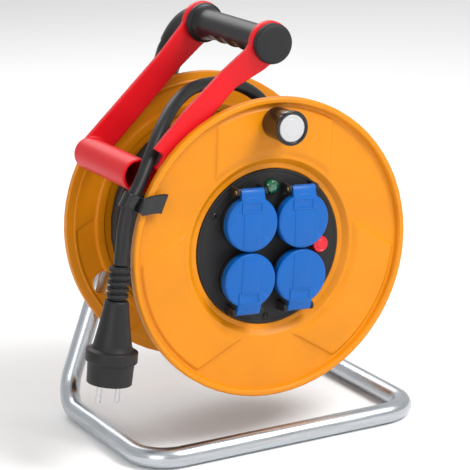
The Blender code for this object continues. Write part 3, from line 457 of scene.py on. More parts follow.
# ---------------------------------------------------------------- camera, light and floor
def build_stage():
    camera_data = bpy.data.cameras.new("camera")
    camera = bpy.data.objects.new("camera", camera_data)
    bpy.context.scene.collection.objects.link(camera)
    camera_data.lens = 174.53
    camera_data.sensor_width = 36.0
    camera_data.clip_end = 50.0
    right = Vector((0.887429, -0.459932, -0.030545))
    up = Vector((0.146612, 0.218819, 0.964688))
    back = Vector((-0.437007, -0.860570, 0.261617))
    turn = Matrix((right, up, back)).transposed().to_4x4()
    camera.matrix_world = Matrix.Translation(from_middle(-0.969744, -1.912902, 0.576326)) @ turn
    bpy.context.scene.camera = camera

    own = bmesh.new()
    steps, size, low = 40, 14.0, -0.0005
    grid = [[own.verts.new((size * (i / steps - 0.5), size * (j / steps - 0.5), low))
             for j in range(steps + 1)] for i in range(steps + 1)]
    for i in range(steps):
        for j in range(steps):
            own.faces.new((grid[i][j], grid[i + 1][j], grid[i + 1][j + 1], grid[i][j + 1]))
    piece("floor", own, FLOOR)

    world = bpy.data.worlds.new("studio")
    bpy.context.scene.world = world
    world.use_nodes = True
    world.node_tree.nodes["Background"].inputs["Color"].default_value = (1.0, 1.0, 1.0, 1.0)
    world.node_tree.nodes["Background"].inputs["Strength"].default_value = 0.68
    for name, place, aim, size, power in (
            ("key", (0.75, -1.25, 1.75), (0.0, 0.0, 0.2), 0.9, 44.0),
            ("fill", (-1.7, -1.3, 0.9), (0.0, 0.0, 0.2), 1.2, 12.0),
            ("back", (0.2, 1.6, 1.6), (0.0, 0.0, 0.2), 1.2, 14.0)):
        lamp = bpy.data.lights.new(name, "AREA")
        lamp.size = size
        lamp.energy = power
        holder = bpy.data.objects.new(name, lamp)
        bpy.context.scene.collection.objects.link(holder)
        holder.location = place
        holder.rotation_euler = (Vector(aim) - Vector(place)).to_track_quat("-Z", "Y").to_euler()
    bpy.context.scene.view_settings.view_transform = "Standard"


# ---------------------------------------------------------------- cable
LAYER_RADII = (BARREL_R + CABLE_R, 0.08743, 0.09811)
TURN_PITCH = 0.0130
TURN_ENDS = (0.0585, 0.0650, 0.0585)   # outermost turn of each layer, from the middle
TURN_POINTS = 32
CROSS_SHARE = 0.2              # share of a turn in which the cable steps over to its next groove
CROSS_RISE = (0.0, 0.0016, 0.0018)
LAY_ERROR = (0.0004, 0.0004, 0.0009)   # how far a layer's turns stray sideways
FIRST_TURN_ANGLE = math.radians(-60)
END_DIP = 0.006                # how far the last turn's end sinks between its neighbours


def winding_route():
    """Three layers of turns side by side; each turn lies straight, then steps to the next groove."""
    route = []
    for layer, (radius, end) in enumerate(zip(LAYER_RADII, TURN_ENDS)):
        way = 1 if layer % 2 == 0 else -1
        count = round(2 * end / TURN_PITCH) + 1
        for turn in range(count):
            y = way * (-end + turn * TURN_PITCH)
            last = turn == count - 1
            for k in range(TURN_POINTS):
                share = k / TURN_POINTS
                over = smooth_step(1 - CROSS_SHARE, 1.0, share)
                if last and layer < 2:
                    new_y = way * TURN_ENDS[layer + 1]
                    r = radius + (LAYER_RADII[layer + 1] - radius) * over
                elif last:
                    new_y, r = y, radius - END_DIP * over
                else:
                    new_y = y + way * TURN_PITCH
                    r = radius + CROSS_RISE[layer] * math.sin(math.pi * over)
                place = Vector((0.37 * turn, share * 2.0, layer * 3.1))
                loose = noise.noise(place) * LAY_ERROR[layer]
                angle = FIRST_TURN_ANGLE + math.tau * share
                side = y + (new_y - y) * over + loose
                route.append(Vector((r * math.cos(angle), side, r * math.sin(angle))))
    return route


def build_cables():
    route = [DRUM @ p for p in winding_route()]
    winding = piece("winding", sweep(route, CABLE_R, sides=14, uv=False), CABLE, None,
                    "drum", ["cable_winding"])

    fine = catmull([from_middle(*p) for p in TAIL_ROUTE], 0.004)
    notch = from_middle(*TAIL_ROUTE[NOTCH_POINT])
    split = min(range(len(fine)), key=lambda i: (fine[i] - notch).length)
    before, after = fine[:split + 1], fine[split:]
    upper = piece("tail", sweep(before, CABLE_R, sides=28), CABLE, None, None,
                  ["cable_tail"])
    lower = piece("tail_end", sweep(after, CABLE_R, sides=28), CABLE, None, None)
    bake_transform(upper)
    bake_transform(lower)
    return lower, after


# ---------------------------------------------------------------- plug
def build_plug():
    turn = PLUG_AXIS.to_track_quat("Y", "Z").to_matrix().to_4x4()
    place = Matrix.Translation(from_middle(*PLUG_TOP)) @ turn
    profile = [(0.0, 0.0), (0.0078, 0.0)]
    for i in range(5):
        y = 0.0010 + i * 0.0061
        profile += [(0.0078, y), (0.0102, y + 0.0003), (0.0102, y + 0.0036), (0.0079, y + 0.0040)]
    profile += [(0.0079, BOOT_LENGTH), (0.0, BOOT_LENGTH)]
    boot = piece("boot", lathe(fillet(profile, 0.0009), 48), RUBBER, place, "frame",
                 ["plug_boot"])
    start = BOOT_LENGTH + 0.0003
    profile = [(0.0, start), (0.0100, start), (0.0112, start + 0.0012), (0.0120, start + 0.008),
               (0.0150, start + 0.026), (0.0180, start + 0.0415), (0.0196, start + 0.0455),
               (0.0243, start + 0.0472), (0.0245, start + 0.0570), (0.0228, start + 0.0585),
               (0.0219, start + 0.0592), (0.0214, start + 0.0680), (0.0212, PLUG_LENGTH), (0.0, PLUG_LENGTH)]
    body = piece("plug", lathe(fillet(profile, 0.0010), 96), RUBBER, place, "frame",
                 ["plug_body"])
    for number, side in ((1, -1), (2, 1)):
        tip = PLUG_LENGTH + 0.019
        shape = fillet([(0.0, PLUG_LENGTH - 0.006), (0.0024, PLUG_LENGTH - 0.006), (0.0024, tip - 0.0006),
                        (0.0016, tip), (0.0, tip)], 0.0008)
        piece("pin_" + str(number), lathe(shape, 32), STEEL,
                          place @ Matrix.Translation((0, 0, side * CONTACT_X)), "frame",
                          ["plug_pin_" + str(number)])


build_stage()
cable_tail, tail_line = build_cables()
build_plug()


# ---------------------------------------------------------------- flanges
RAISE = 0.0017                 # how far an arm stands proud
ARM_IN = 0.0880
ARM_EDGE = (0.1330, 0.1354)    # radii between which an arm slopes down to the rim
RING_RISE = 0.0022             # height of the ring on the inner face
POCKET_DEPTH = 0.0016          # depth of an arm's hollow back
FACE_OUT, FACE_IN = 0.0760, 0.0730


def flange_columns():
    """The mesh's columns: an arm's angle, the way across it or round the pocket, its arm's share."""
    columns = []
    edge = ARM_HALF + 0.0012
    across = [-edge + 0.0006 * i for i in range(5)]
    across += [-0.0560 + 0.0056 * i for i in range(21)]
    across += [-x for x in across[4::-1]]
    pocket = 12
    for middle in ARM_ANGLES:
        for x in across:
            share = 1 - smooth_step(ARM_HALF - 0.0012, edge, abs(x))
            columns.append((middle, x, None, share))
        columns += [(middle, edge, k / pocket, 0.0) for k in range(1, pocket)]
    return columns


def column_angle(column, radius):
    middle, x, fraction, _ = column
    reach = min(max(radius, ARM_IN), 0.1365)
    angle = math.radians(middle) + math.asin(x / reach)
    if fraction is not None:
        half = math.asin(x / reach)
        angle = math.radians(middle) + half + (math.radians(120) - 2 * half) * fraction
    return angle


def flange_mesh(out):
    outer = [(0.0757, 0.0690), (0.0757, 0.0711), (0.0808, 0.0713), (0.0856, 0.0757),
             (0.0866, 0.0761), (0.0878, 0.0760)]
    face = [0.0890, 0.0905, 0.0930, 0.0970, 0.1030, 0.1100, 0.1170, 0.1240, 0.1300, 0.1322,
            0.1332, 0.1342, 0.1352, 0.1362]
    rim = [(0.1376, 0.0764), (0.1386, 0.0800), (0.1400, 0.0819), (0.1434, 0.0819),
           (0.1450, 0.0803), (0.1450, 0.0739), (0.1374, 0.0737), (0.1364, 0.0731)]
    inner = [0.1352, 0.1342, 0.1332, 0.1322, 0.1300, 0.1240, 0.1170, 0.1150, 0.1138, 0.1130,
             0.1120, 0.1070, 0.1060, 0.1050, 0.0970, 0.0890]
    tail = [(0.0745, 0.0660), (0.0620, 0.0660), (0.0620, 0.0690)]
    section = [(r, y, "plain") for r, y in fillet(outer, 0.0012, closed=False)]
    section += [(r, FACE_OUT, "outer") for r in face]
    section += [(r, y, "plain") for r, y in fillet(rim, 0.0009, closed=False)]
    section += [(r, FACE_IN, "inner") for r in inner]
    section += [(r, y, "plain") for r, y in fillet(tail, 0.0008, closed=False)]
    columns = flange_columns()
    own = bmesh.new()
    rings = []
    for r, y, kind in section:
        ring = []
        for column in columns:
            angle, share = column_angle(column, r), column[3]
            within = 1 - smooth_step(*ARM_EDGE, r)
            height = y
            if kind == "outer":
                height = y + RAISE * share * smooth_step(0.0900, 0.0925, r) * within
            elif kind == "inner":
                ring_share = smooth_step(0.1046, 0.1062, r) * (1 - smooth_step(0.1128, 0.1142, r))
                pocket = share * smooth_step(0.1134, 0.1152, r) * within
                height = y - RING_RISE * ring_share + POCKET_DEPTH * pocket
            ring.append(own.verts.new((r * math.cos(angle), out * height, r * math.sin(angle))))
        rings.append(ring)
    for first, second in zip(rings, rings[1:] + rings[:1]):
        skin(own, first, second)
    return own


MERGE_DISTANCE = 2e-6


def carve(made, cutters):
    """Cuts solids out of a piece, and shades what is left."""
    for cutter in cutters:
        modifier = made.modifiers.new("cut", "BOOLEAN")
        modifier.operation = "DIFFERENCE"
        modifier.solver = "EXACT"
        modifier.object = cutter
    bake(made)
    for cutter in cutters:
        bpy.data.objects.remove(cutter, do_unlink=True)


def bake(made, smooth_angle=35):
    """Applies a piece's modifiers to its mesh, which then has no doubled points."""
    bpy.context.view_layer.update()
    graph = bpy.context.evaluated_depsgraph_get()
    shaped = bpy.data.meshes.new_from_object(made.evaluated_get(graph), depsgraph=graph)
    made.modifiers.clear()
    made.data = shaped
    own = bmesh.new()
    own.from_mesh(shaped)
    bmesh.ops.remove_doubles(own, verts=own.verts, dist=MERGE_DISTANCE)
    bmesh.ops.dissolve_degenerate(own, dist=MERGE_DISTANCE, edges=own.edges)
    own.to_mesh(shaped)
    own.free()
    shaped.shade_smooth()
    shaped.set_sharp_from_angle(angle=math.radians(smooth_angle))


def peg(place, radius, low, high, steps=48):
    """A cutting cylinder along Y, at an (x, z) place."""
    shape = [(0.0, low), (radius, low), (radius, high), (0.0, high)]
    return piece("peg", lathe(shape, steps), YELLOW, Matrix.Translation((place[0], 0.0, place[1])))


def build_flanges():
    piece("flange_front", flange_mesh(-1), YELLOW, DRUM, "drum",
          ["front_flange"], smooth_angle=50)
    rear = piece("flange_rear", flange_mesh(1), YELLOW)
    carve(rear, [peg(local(GRIP_HOLE_ANGLE, CRANK_R), 0.0120, 0.05, 0.10)])
    rear.data.transform(DRUM)
    rear.data.set_sharp_from_angle(angle=math.radians(50))
    settle(rear, "drum", ["rear_flange"])
    lip = lathe(fillet([(0.0118, 0.0731), (0.0131, 0.0731), (0.0131, 0.0792), (0.0118, 0.0792)],
                       0.0005), 64)
    x, z = local(GRIP_HOLE_ANGLE, CRANK_R)
    piece("flange_hole_lip", lip, YELLOW, DRUM @ Matrix.Translation((x, 0.0, z)), "drum")


def build_hub():
    """The barrel that carries the winding; ribs stiffen the wall seen from behind."""
    wall = 0.0657
    profile = [(BARREL_R, -wall), (BARREL_R, wall), (0.0155, wall), (0.0122, wall), (0.0122, -0.0310),
               (0.0155, -0.0310), (0.0155, wall - 0.003), (0.0655, wall - 0.003), (0.0655, -wall)]
    own = lathe(fillet(profile, 0.0008), 96)
    for k in range(12):
        turn = Matrix.Rotation(math.radians(15 + 30 * k), 4, "Y")
        plate([(0.0165, -0.0009), (0.0612, -0.0009), (0.0612, 0.0009), (0.0165, 0.0009)],
              wall - 0.0005, wall + 0.0030, 0.0004, own, turn)
    lathe(fillet([(0.0158, wall - 0.0005), (0.0182, wall - 0.0005), (0.0182, wall + 0.0036),
                  (0.0158, wall + 0.0036)], 0.0006), 64, own)
    lathe(fillet([(0.0590, wall - 0.0005), (0.0615, wall - 0.0005), (0.0615, wall + 0.0030),
                  (0.0590, wall + 0.0030)], 0.0006), 96, own)
    piece("hub", own, BLACK, DRUM, "drum", ["hub_barrel"])


# ---------------------------------------------------------------- crank knob
def build_knob():
    x, z = local(90, CRANK_R)
    place = DRUM @ Matrix.Translation((x, 0.0, z))
    profile = [(0.0043, -0.0777), (0.0146, -0.0777), (0.0151, -0.0785), (0.0153, -0.0900),
               (0.0156, -0.1020), (0.0158, -0.1040), (0.0165, -0.1046), (0.0165, -0.1092),
               (0.0157, -0.1100), (0.0135, -0.1099), (0.0133, -0.1065), (0.0043, -0.1065)]
    piece("knob", lathe(fillet(profile, 0.0009), 96), GLOSS_BLACK, place, "crank_knob",
          ["crank_knob"])
    profile = [(0.0, -0.1095), (0.0085, -0.10945), (0.0088, -0.10925), (0.0094, -0.10925),
               (0.0097, -0.1094), (0.0122, -0.1092), (0.0131, -0.1086), (0.0131, -0.1068), (0.0, -0.1068)]
    piece("knob_disc", lathe(fillet(profile, 0.0002), 96), LABEL, place, "crank_knob",
          ["knob_cap"])


# ---------------------------------------------------------------- sockets
def socket_places():
    return [("upper_left", -SOCKET_HALF, SOCKET_HALF, True),
            ("upper_right", SOCKET_HALF, SOCKET_HALF, True),
            ("lower_left", -SOCKET_HALF, -SOCKET_HALF, False),
            ("lower_right", SOCKET_HALF, -SOCKET_HALF, False)]


def build_panel():
    face = -PANEL_OUT
    shape = [(0.0, -0.0693), (PANEL_R, -0.0693), (PANEL_R, face + 0.0006),
             (PANEL_R - 0.0006, face), (PANEL_R - 0.0030, face), (PANEL_R - 0.0036, face + 0.0004),
             (PANEL_R - 0.0042, face), (0.0, face)]
    own = lathe(fillet(shape, 0.0003), 128)
    panel = piece("panel", own, PANEL_BLACK)
    cutters = [peg((x, z), 0.0228, -0.08, -0.06, 64) for _, x, z, _ in socket_places()]
    cutters += [peg((0.0, LENS_Z), 0.0058, -0.08, -0.06), peg((BUTTON_X, 0.0), 0.0083, -0.08, -0.06)]
    carve(panel, cutters)
    extra = bmesh.new()
    for _, x, z, above in socket_places():
        way = 1 if above else -1
        axis_z = z + way * HINGE_REACH
        for side in (-1, 1):
            low, high = sorted((x + side * EAR_IN, x + side * EAR_OUT))
            outline = [(face + 0.0006, axis_z - way * 0.0052)]
            outline += [(-HINGE_OUT - 0.0037 * math.cos(a), axis_z - way * 0.0037 * math.sin(a))
                        for a in (1.57, 1.1, 0.6, 0.0, -0.6, -1.1, -1.57)]
            outline += [(face + 0.0006, axis_z + way * 0.0046)]
            plate(outline, low, high, 0.0005, extra, axis="X")
        ring = fillet([(0.0246, face + 0.0004), (0.0272, face + 0.0004), (0.0270, face - 0.0014),
                       (0.0248, face - 0.0014)], 0.0004)
        lathe(ring, 96, extra, Matrix.Translation((x, 0.0, z)))
    ring = fillet([(0.0085, face + 0.0004), (0.0107, face + 0.0004), (0.0105, face - 0.0010),
                   (0.0086, face - 0.0010)], 0.0004)
    lathe(ring, 64, extra, Matrix.Translation((BUTTON_X, 0.0, 0.0)))
    ring = fillet([(0.0072, face + 0.0004), (0.0088, face + 0.0004), (0.0086, face - 0.0007),
                   (0.0073, face - 0.0007)], 0.0003)
    lathe(ring, 64, extra, Matrix.Translation((0.0, 0.0, LENS_Z)))
    details = piece("panel_details", extra, PANEL_BLACK)
    for made, nodes in ((panel, ["socket_panel"]), (details, [])):
        made.data.transform(DRUM)
        settle(made, "drum", nodes)

    shape = [(0.0, -0.0696), (0.0055, -0.0696), (0.0055, -0.0725), (0.0070, -0.0725), (0.0070, -0.0745),
             (0.0066, -0.0760), (0.0052, -0.0774), (0.0030, -0.0781), (0.0, -0.0783)]
    piece("lens", lathe(fillet(shape, 0.0008, 4), 48), LENS,
          DRUM @ Matrix.Translation((0.0, 0.0, LENS_Z)), "drum", ["indicator_lens"])
    shape = [(0.0, -0.0640), (0.0080, -0.0640), (0.0080, -0.0790), (0.0074, -0.0799), (0.0062, -0.0800),
             (0.0056, -0.0795), (0.0046, -0.0795), (0.0040, -0.0799), (0.0, -0.07995)]
    piece("button", lathe(fillet(shape, 0.0005), 64), BUTTON_RED,
          DRUM @ Matrix.Translation((BUTTON_X, 0.0, 0.0)), "reset_button", ["reset_button"])


def build_screws():
    """Cross-head screws on the panel and behind the drum."""
    for i, angle in enumerate(SCREW_ANGLES):
        x, z = local(angle, SCREW_CIRCLE_R)
        for name, out, face, finish, slot in (
                ("panel_screw_", -1, 0.0725, BLACK, "black_plastic"),
                ("drum_screw_", 1, 0.0693, STEEL, "zinc_steel")):
            head = [(0.0, face + 0.0018), (0.0018, face + 0.0017), (0.0028, face + 0.0009),
                    (0.0032, face), (0.0012, face), (0.0012, 0.0560), (0.0, 0.0560)]
            screw = piece("screw", lathe(fillet([(r, out * y) for r, y in head], 0.0003), 40), finish)
            slots = []
            for turn in (0, 90):
                own = plate(rectangle((-0.0018, -0.00035), (0.0018, 0.00035)),
                            *sorted((out * (face + 0.0008), out * (face + 0.0030))))
                slots.append(piece("slot", own, finish, Matrix.Rotation(math.radians(turn + 20), 4, "Y")))
            carve(screw, slots)
            screw.name = name + "head_" + str(i + 1)
            screw.data.transform(DRUM @ Matrix.Translation((x, 0.0, z)))
            settle(screw, "drum", [name + str(i + 1)])


def build_sockets():
    for name, x, z, _ in socket_places():
        place = DRUM @ Matrix.Translation((x, 0.0, z))
        shape = [(0.0, -0.0420), (0.0225, -0.0420), (0.0225, -0.0724), (0.0260, -0.0725), (0.0260, -0.0806),
                 (0.0234, -0.0806), (0.0234, -0.0860), (0.0200, -0.0860), (0.0195, -0.0850),
                 (0.0195, -0.0615), (0.0, -0.0615)]
        made = piece("socket_" + name, lathe(fillet(shape, 0.0006), 80), BLACK)
        carve(made, [peg((side * CONTACT_X, 0.0), 0.0026, -0.08, -0.046, 24) for side in (-1, 1)])
        made.data.transform(place)
        settle(made, "drum", ["socket_insert_" + name])
        own = bmesh.new()
        for side in (-1, 1):
            strip = [(0.0196, -0.0617), (0.0196, -0.0855), (0.0188, -0.0858), (0.0172, -0.0830),
                     (0.0168, -0.0740), (0.0176, -0.0660), (0.0186, -0.0617)]
            outline = [(y, side * r) for r, y in strip]
            plate(outline, -0.0026, 0.0026, 0.0002, own, axis="X")
        piece("earth_clips_" + name, own, STEEL, place, "drum")


def lid_shape():
    """A lid in its hinge's axes: the hinge along X at the origin, the lid hanging down."""
    centre = Matrix.Translation((0.0, 0.0, -HINGE_REACH))
    cup = [(0.0, -0.0062), (0.0240, -0.0061), (0.0257, -0.0057), (0.0265, -0.0047), (0.0265, 0.0030),
           (0.0250, 0.0030), (0.0250, -0.0032), (0.0, -0.0032)]
    own = lathe(fillet(cup, 0.0007), 128, None, centre)
    low_z = -HINGE_REACH - 0.0232
    band = [(-0.0091, low_z), (-0.0045, low_z - 0.0012), (0.0, low_z - 0.0016), (0.0045, low_z - 0.0012),
            (0.0091, low_z), (0.0098, -0.0186), (-0.0098, -0.0186)]
    plate(band, -0.0066, -0.0054, 0.0003, own)
    side = [(-0.0014, 0.0032), (-0.0028, 0.0025), (-0.0038, 0.0010), (-0.0044, -0.0015), (-0.0056, -0.0055),
            (-0.0066, -0.0090), (-0.0070, -0.0110), (-0.0070, -0.0192), (-0.0054, -0.0192),
            (-0.0040, -0.0100), (-0.0014, -0.0045)]
    tab = piece("tab", plate(side, -0.0121, 0.0121, axis="X"), BLUE)
    dent = piece("dent", plate(rectangle((-0.0084, -0.0178), (0.0084, -0.0098)), -0.0090, -0.0063), BLUE)
    carve(tab, [dent])
    bevel = tab.modifiers.new("bevel", "BEVEL")
    bevel.width, bevel.segments, bevel.limit_method = 0.0003, 2, "ANGLE"
    bake(tab)
    own.from_mesh(tab.data)
    bpy.data.objects.remove(tab, do_unlink=True)
    for low, high in ((-0.0093, -0.0022), (-0.0018, 0.0052), (0.0056, 0.0124)):
        knuckle = fillet([(0.0015, low), (KNUCKLE_R, low), (KNUCKLE_R, high), (0.0015, high)], 0.0004)
        lathe(knuckle, 40, own, Matrix.Rotation(math.radians(-90), 4, "Z"))
    return own


def build_lids():
    for name, x, z, above in socket_places():
        axis_z = z + (HINGE_REACH if above else -HINGE_REACH)
        turn = Matrix.Rotation(0.0 if above else math.pi, 4, "Y")
        place = DRUM @ Matrix.Translation((x, -HINGE_OUT, axis_z)) @ turn
        piece("cover_" + name, lid_shape(), BLUE, place, "lid_" + name,
              ["lid_" + name], smooth_angle=40)
        pin = fillet([(0.0, -0.0166), (0.0021, -0.0166), (0.0021, -0.0157), (0.0012, -0.0157),
                      (0.0012, 0.0157), (0.0, 0.0157)], 0.0003)
        turned_pin = Matrix.Rotation(math.radians(-90), 4, "Z")
        piece("pin_" + name, lathe(pin, 32), BRASS, place @ turned_pin, "drum",
              ["hinge_pin_" + name])


# ---------------------------------------------------------------- frame and handle
def leg_point(side, z):
    floor_z = TUBE_AXIS_Z - AXLE_Z
    lean = (BASE_X + HANDLE_X) / (HANDLE_Z - floor_z)
    return from_middle(side * (BASE_X - lean * (z - floor_z)), LEG_Y, z)


def frame_path(steps=16):
    floor_z = TUBE_AXIS_Z - AXLE_Z
    corners = [from_middle(HANDLE_X, -0.0825, HANDLE_Z), from_middle(HANDLE_X, LEG_Y, HANDLE_Z),
               from_middle(-BASE_X, LEG_Y, floor_z), from_middle(-BASE_X, BASE_FRONT_Y, floor_z),
               from_middle(BASE_X, BASE_FRONT_Y, floor_z), from_middle(BASE_X, LEG_Y, floor_z),
               leg_point(1, RIGHT_LEG_TOP)]
    return rounded(corners, [0.038] + [0.034] * 4, steps)


def build_frame():
    piece("tube", sweep(frame_path(), TUBE_R, 40, 0.0085, uv=True), ZINC, None, "frame",
          ["frame_tube"])
    start = from_middle(HANDLE_X, 0.0665, HANDLE_Z)
    end = leg_point(-1, 0.105)
    bend = [p for p in frame_path() if p.y > start.y and p.z > end.z]
    fine = catmull([start] + bend + [end], 0.0035)

    def sleeve(share, angle):
        lip = smooth_step(0.93, 0.95, share) - smooth_step(0.985, 1.0, share)
        return 0.0138 - 0.0008 * smooth_step(0.0, 0.03, 0.03 - share) + 0.0007 * lip
    piece("elbow", sweep(fine, sleeve, 40, 0.0107), BLACK, None, "frame",
          ["handle_elbow"])

    low, high = -0.030, 0.030
    outline = [(leg_point(side, z).x + side * 0.014, z + AXLE_Z)
               for side, z in ((-1, low), (1, low), (1, high), (-1, high))]
    inset = []
    for k, (a, b) in enumerate(outline):
        before, after = Vector(outline[k - 1]), Vector(outline[(k + 1) % 4])
        here = Vector((a, b))
        for t in range(5):
            first = here + (before - here).normalized() * 0.006
            last = here + (after - here).normalized() * 0.006
            p = first.lerp(here, t / 4).lerp(here.lerp(last, t / 4), t / 4)
            inset.append((p.x, p.y))
    piece("plate", plate(inset, DRUM_Y + 0.0917, DRUM_Y + 0.0952, 0.0005), STEEL, None, "frame",
          ["axle_plate"])


def build_grip():
    """The grip's tube with finger waves underneath and a collar at each end."""
    front, rear, steps, sides = -0.0735, 0.0565, 110, 56
    own = bmesh.new()

    def radius(y, angle):
        under = max(0.0, -math.cos(angle)) ** 1.3
        wave = 0.0
        for i in range(4):
            wave += math.exp(-((y - (front + 0.024 + i * 0.0235)) / 0.0075) ** 2)
        r = 0.0140 + 0.0010 * (1 - smooth_step(front, front + 0.007, y))
        r += 0.0026 * smooth_step(rear - 0.014, rear - 0.006, y)
        r += 0.0029 * smooth_step(rear - 0.006, rear - 0.0042, y)
        r -= 0.0010 * max(smooth_step(0.0008, 0.0, y - front), smooth_step(0.0010, 0.0, rear - y))
        return r + under * (0.0004 - 0.0026 * wave) * (1 - smooth_step(rear - 0.012, rear - 0.006, y))
    places = [front + (rear - front) * i / steps for i in range(steps + 1)]
    outer = [[own.verts.new((radius(y, math.tau * k / sides) * math.sin(math.tau * k / sides), y,
                             radius(y, math.tau * k / sides) * math.cos(math.tau * k / sides)))
              for k in range(sides)] for y in places]
    bore = [[own.verts.new((0.0103 * math.sin(math.tau * k / sides), y,
                            0.0103 * math.cos(math.tau * k / sides)))
             for k in range(sides)] for y in (rear, front)]
    for first, second in zip(outer + bore, (outer + bore)[1:] + outer[:1]):
        skin(own, first, second)
    at = MIDDLE @ Matrix.Translation((HANDLE_X, 0.0, HANDLE_Z))
    piece("handle", own, BLACK, at, "frame", ["grip"])
    cap = [(0.0, -0.0905), (0.0110, -0.0904), (0.0160, -0.0899), (0.0183, -0.0890), (0.0190, -0.0874),
           (0.0190, -0.0829), (0.0078, -0.0829), (0.0078, -0.0710), (0.0, -0.0710)]
    piece("cap", lathe(fillet(cap, 0.0006), 80), PANEL_BLACK, at, "frame", ["end_cap"])


# ---------------------------------------------------------------- rim clip
def build_clip():
    """A bent strip: behind the rim, round the cable, then flat over the rim's front."""
    at = Vector(TAIL_ROUTE[CLIP_POINT])
    radial = Vector((at.x, 0.0, at.z)).normalized()
    across = Vector((0.0, 1.0, 0.0)).cross(radial)
    reach = (at.x ** 2 + at.z ** 2) ** 0.5
    ring = CABLE_R + 0.0018
    line = [(0.1405, -0.0716), (0.1440, -0.0716), (0.1466, -0.0706)]
    for i in range(15):
        angle = math.radians(128 - i * 256 / 14)
        line.append((reach + ring * math.cos(angle), at.y + ring * math.sin(angle)))
    line += [(0.1478, -0.0836), (0.1455, -0.0842), (0.1420, -0.0842), (0.1380, -0.0838), (0.1330, -0.0838),
             (0.1290, -0.0838), (0.1268, -0.0840)]
    line = [(p.x, p.y) for p in catmull([(a, b, 0.0) for a, b in line], 0.0012)]
    half, height, steps = 0.0009, 0.0095, 10
    rows = []
    for i in range(steps + 1):
        t = -1 + 2 * i / steps
        row = []
        for k, (s, y) in enumerate(line):
            p, q = line[max(0, k - 1)], line[min(len(line) - 1, k + 1)]
            normal = Vector((-(q[1] - p[1]), q[0] - p[0])).normalized() * half
            tilt = smooth_step(0.1475, 0.1500, s) * -0.17 * t * height
            row.append(((s + normal.x, y + normal.y + tilt), (s - normal.x, y - normal.y + tilt)))
        rows.append((t, [a for a, _ in row] + [b for _, b in reversed(row)]))
    own = bmesh.new()
    rings = []
    for t, outline in rows:
        rings.append([own.verts.new(radial * s + Vector((0.0, y, 0.0)) + across * t
                                    * (height - 0.0022 * smooth_step(0.1445, 0.1480, s))
                                    + across * 0.0080 * (1 - smooth_step(0.1268, 0.1500, s)))
                      for s, y in outline])
    count = len(rings[0])
    for first, second in zip(rings, rings[1:]):
        skin(own, first, second)
    for ring_of in (rings[0], rings[-1]):
        for k in range(count // 2 - 1):
            own.faces.new((ring_of[k], ring_of[k + 1], ring_of[count - 2 - k], ring_of[count - 1 - k]))
    bmesh.ops.recalc_face_normals(own, faces=own.faces)
    sharp = [e for e in own.edges if e.calc_face_angle(0.0) > math.radians(50)]
    bmesh.ops.bevel(own, geom=sharp, offset=0.0004, segments=2, affect="EDGES", profile=0.5)
    piece("clip", own, GLOSS_BLACK, MIDDLE, "frame", ["rim_clip"])


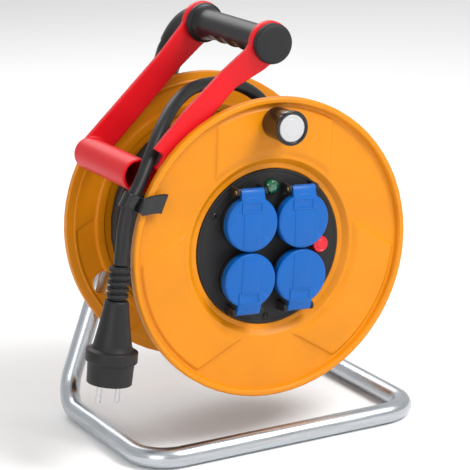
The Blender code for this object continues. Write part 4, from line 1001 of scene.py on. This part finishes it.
# ---------------------------------------------------------------- cable guide
def build_guide():
    """The red guide: two arms from the grip and a hollow bar, moulded in one with soft corners."""
    along = Vector((math.cos(PILOT_ANGLE), 0.0, math.sin(PILOT_ANGLE)))
    across = Vector((math.sin(PILOT_ANGLE), 0.0, -math.cos(PILOT_ANGLE)))
    bar_at = along * PILOT_LENGTH

    def strap(stations):
        own = bmesh.new()
        rings = []
        for distance, y, half, thick, shift in stations:
            rings.append([own.verts.new(along * distance + across * (a * half + shift)
                                        + Vector((0.0, y + b * thick / 2, 0.0)))
                          for a, b in ((-1, -1), (1, -1), (1, 1), (-1, 1))])
        for first, second in zip(rings, rings[1:]):
            skin(own, first, second)
        own.faces.new(rings[0])
        own.faces.new(rings[-1])
        return piece("strap", own, RED)

    def disc(radius, low, high, place=(0.0, 0.0)):
        shape = fillet([(0.0, low), (radius, low), (radius, high), (0.0, high)], 0.0012)
        return piece("disc", lathe(shape, 64), RED, Matrix.Translation((place[0], 0.0, place[1])))

    made = strap([(0.004, -0.0780, 0.0160, 0.0080, 0.0), (0.020, -0.0780, 0.0135, 0.0076, 0.0),
                  (0.050, -0.0684, 0.0106, 0.0066, 0.0026), (0.100, -0.0680, 0.0116, 0.0066, 0.0040),
                  (0.140, -0.0680, 0.0122, 0.0066, 0.0024), (PILOT_LENGTH, -0.0680, 0.0140, 0.0060, 0.0)])
    made.name = "guide"
    end = (bar_at.x, bar_at.z)
    parts = [strap([(0.004, 0.0607, 0.0165, 0.0066, 0.0), (0.020, 0.0605, 0.0148, 0.0062, 0.0),
                    (0.050, 0.0605, 0.0128, 0.0060, 0.0),
                    (PILOT_LENGTH, 0.0605, 0.0140, 0.0060, 0.0)]),
             disc(0.0205, -0.0820, -0.0740), disc(0.0205, 0.0572, 0.0647),
             disc(0.0157, -0.0710, 0.0635, end)]
    for part in parts:
        modifier = made.modifiers.new("join", "BOOLEAN")
        modifier.operation, modifier.solver, modifier.object = "UNION", "EXACT", part
    bake(made)
    for part in parts:
        bpy.data.objects.remove(part, do_unlink=True)
    axis = Vector((HANDLE_X, 0.0, HANDLE_Z))
    into, out = Vector((-0.1082, 0.0, 0.1053)) - axis, Vector((-0.1440, 0.0, 0.0570)) - axis
    inward = (out - into).normalized().cross(Vector((0.0, 1.0, 0.0)))
    if inward.dot(-out - axis) < 0.0:
        inward = -inward
    stretch, depth, open_side = (out - into).normalized() * 0.02, inward * 0.0054, inward * 0.04
    corners = [into + depth, out + stretch + depth, out + stretch - open_side, into - open_side]
    notch = piece("notch", plate([(p.x, p.z) for p in corners], -0.0730, -0.0495, 0.0030), RED)
    carve(made, [peg((0.0, 0.0), 0.0103, -0.2, 0.2, 64), peg(end, 0.0125, -0.2, 0.0575, 64), notch])
    remesh = made.modifiers.new("remesh", "REMESH")
    remesh.mode, remesh.voxel_size = "VOXEL", 0.0009
    soften = made.modifiers.new("soften", "SMOOTH")
    soften.factor, soften.iterations = 0.5, 7
    bake(made, 60)
    made.data.transform(MIDDLE @ Matrix.Translation(axis))
    made.data.materials.clear()
    made.data.materials.append(RED)
    settle(made, "cable_pilot", ["cable_pilot"])


build_flanges()
build_hub()
build_knob()
build_panel()
build_screws()
build_sockets()
build_lids()
build_frame()
build_grip()
build_clip()
build_guide()


# ---------------------------------------------------------------- CAD nodes that stay
def finish_nodes():
    """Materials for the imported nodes; what no finer piece replaces is seen as it is."""
    plastic = {"cable_gland": BLACK, "thermal_cutout": BLACK, "leg_plug": BLACK,
               "bush_front": CREAM, "bush_rear": CREAM}
    for name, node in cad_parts.items():
        node.data.materials.clear()
        node.data.materials.append(plastic.get(name, STEEL))


finish_nodes()
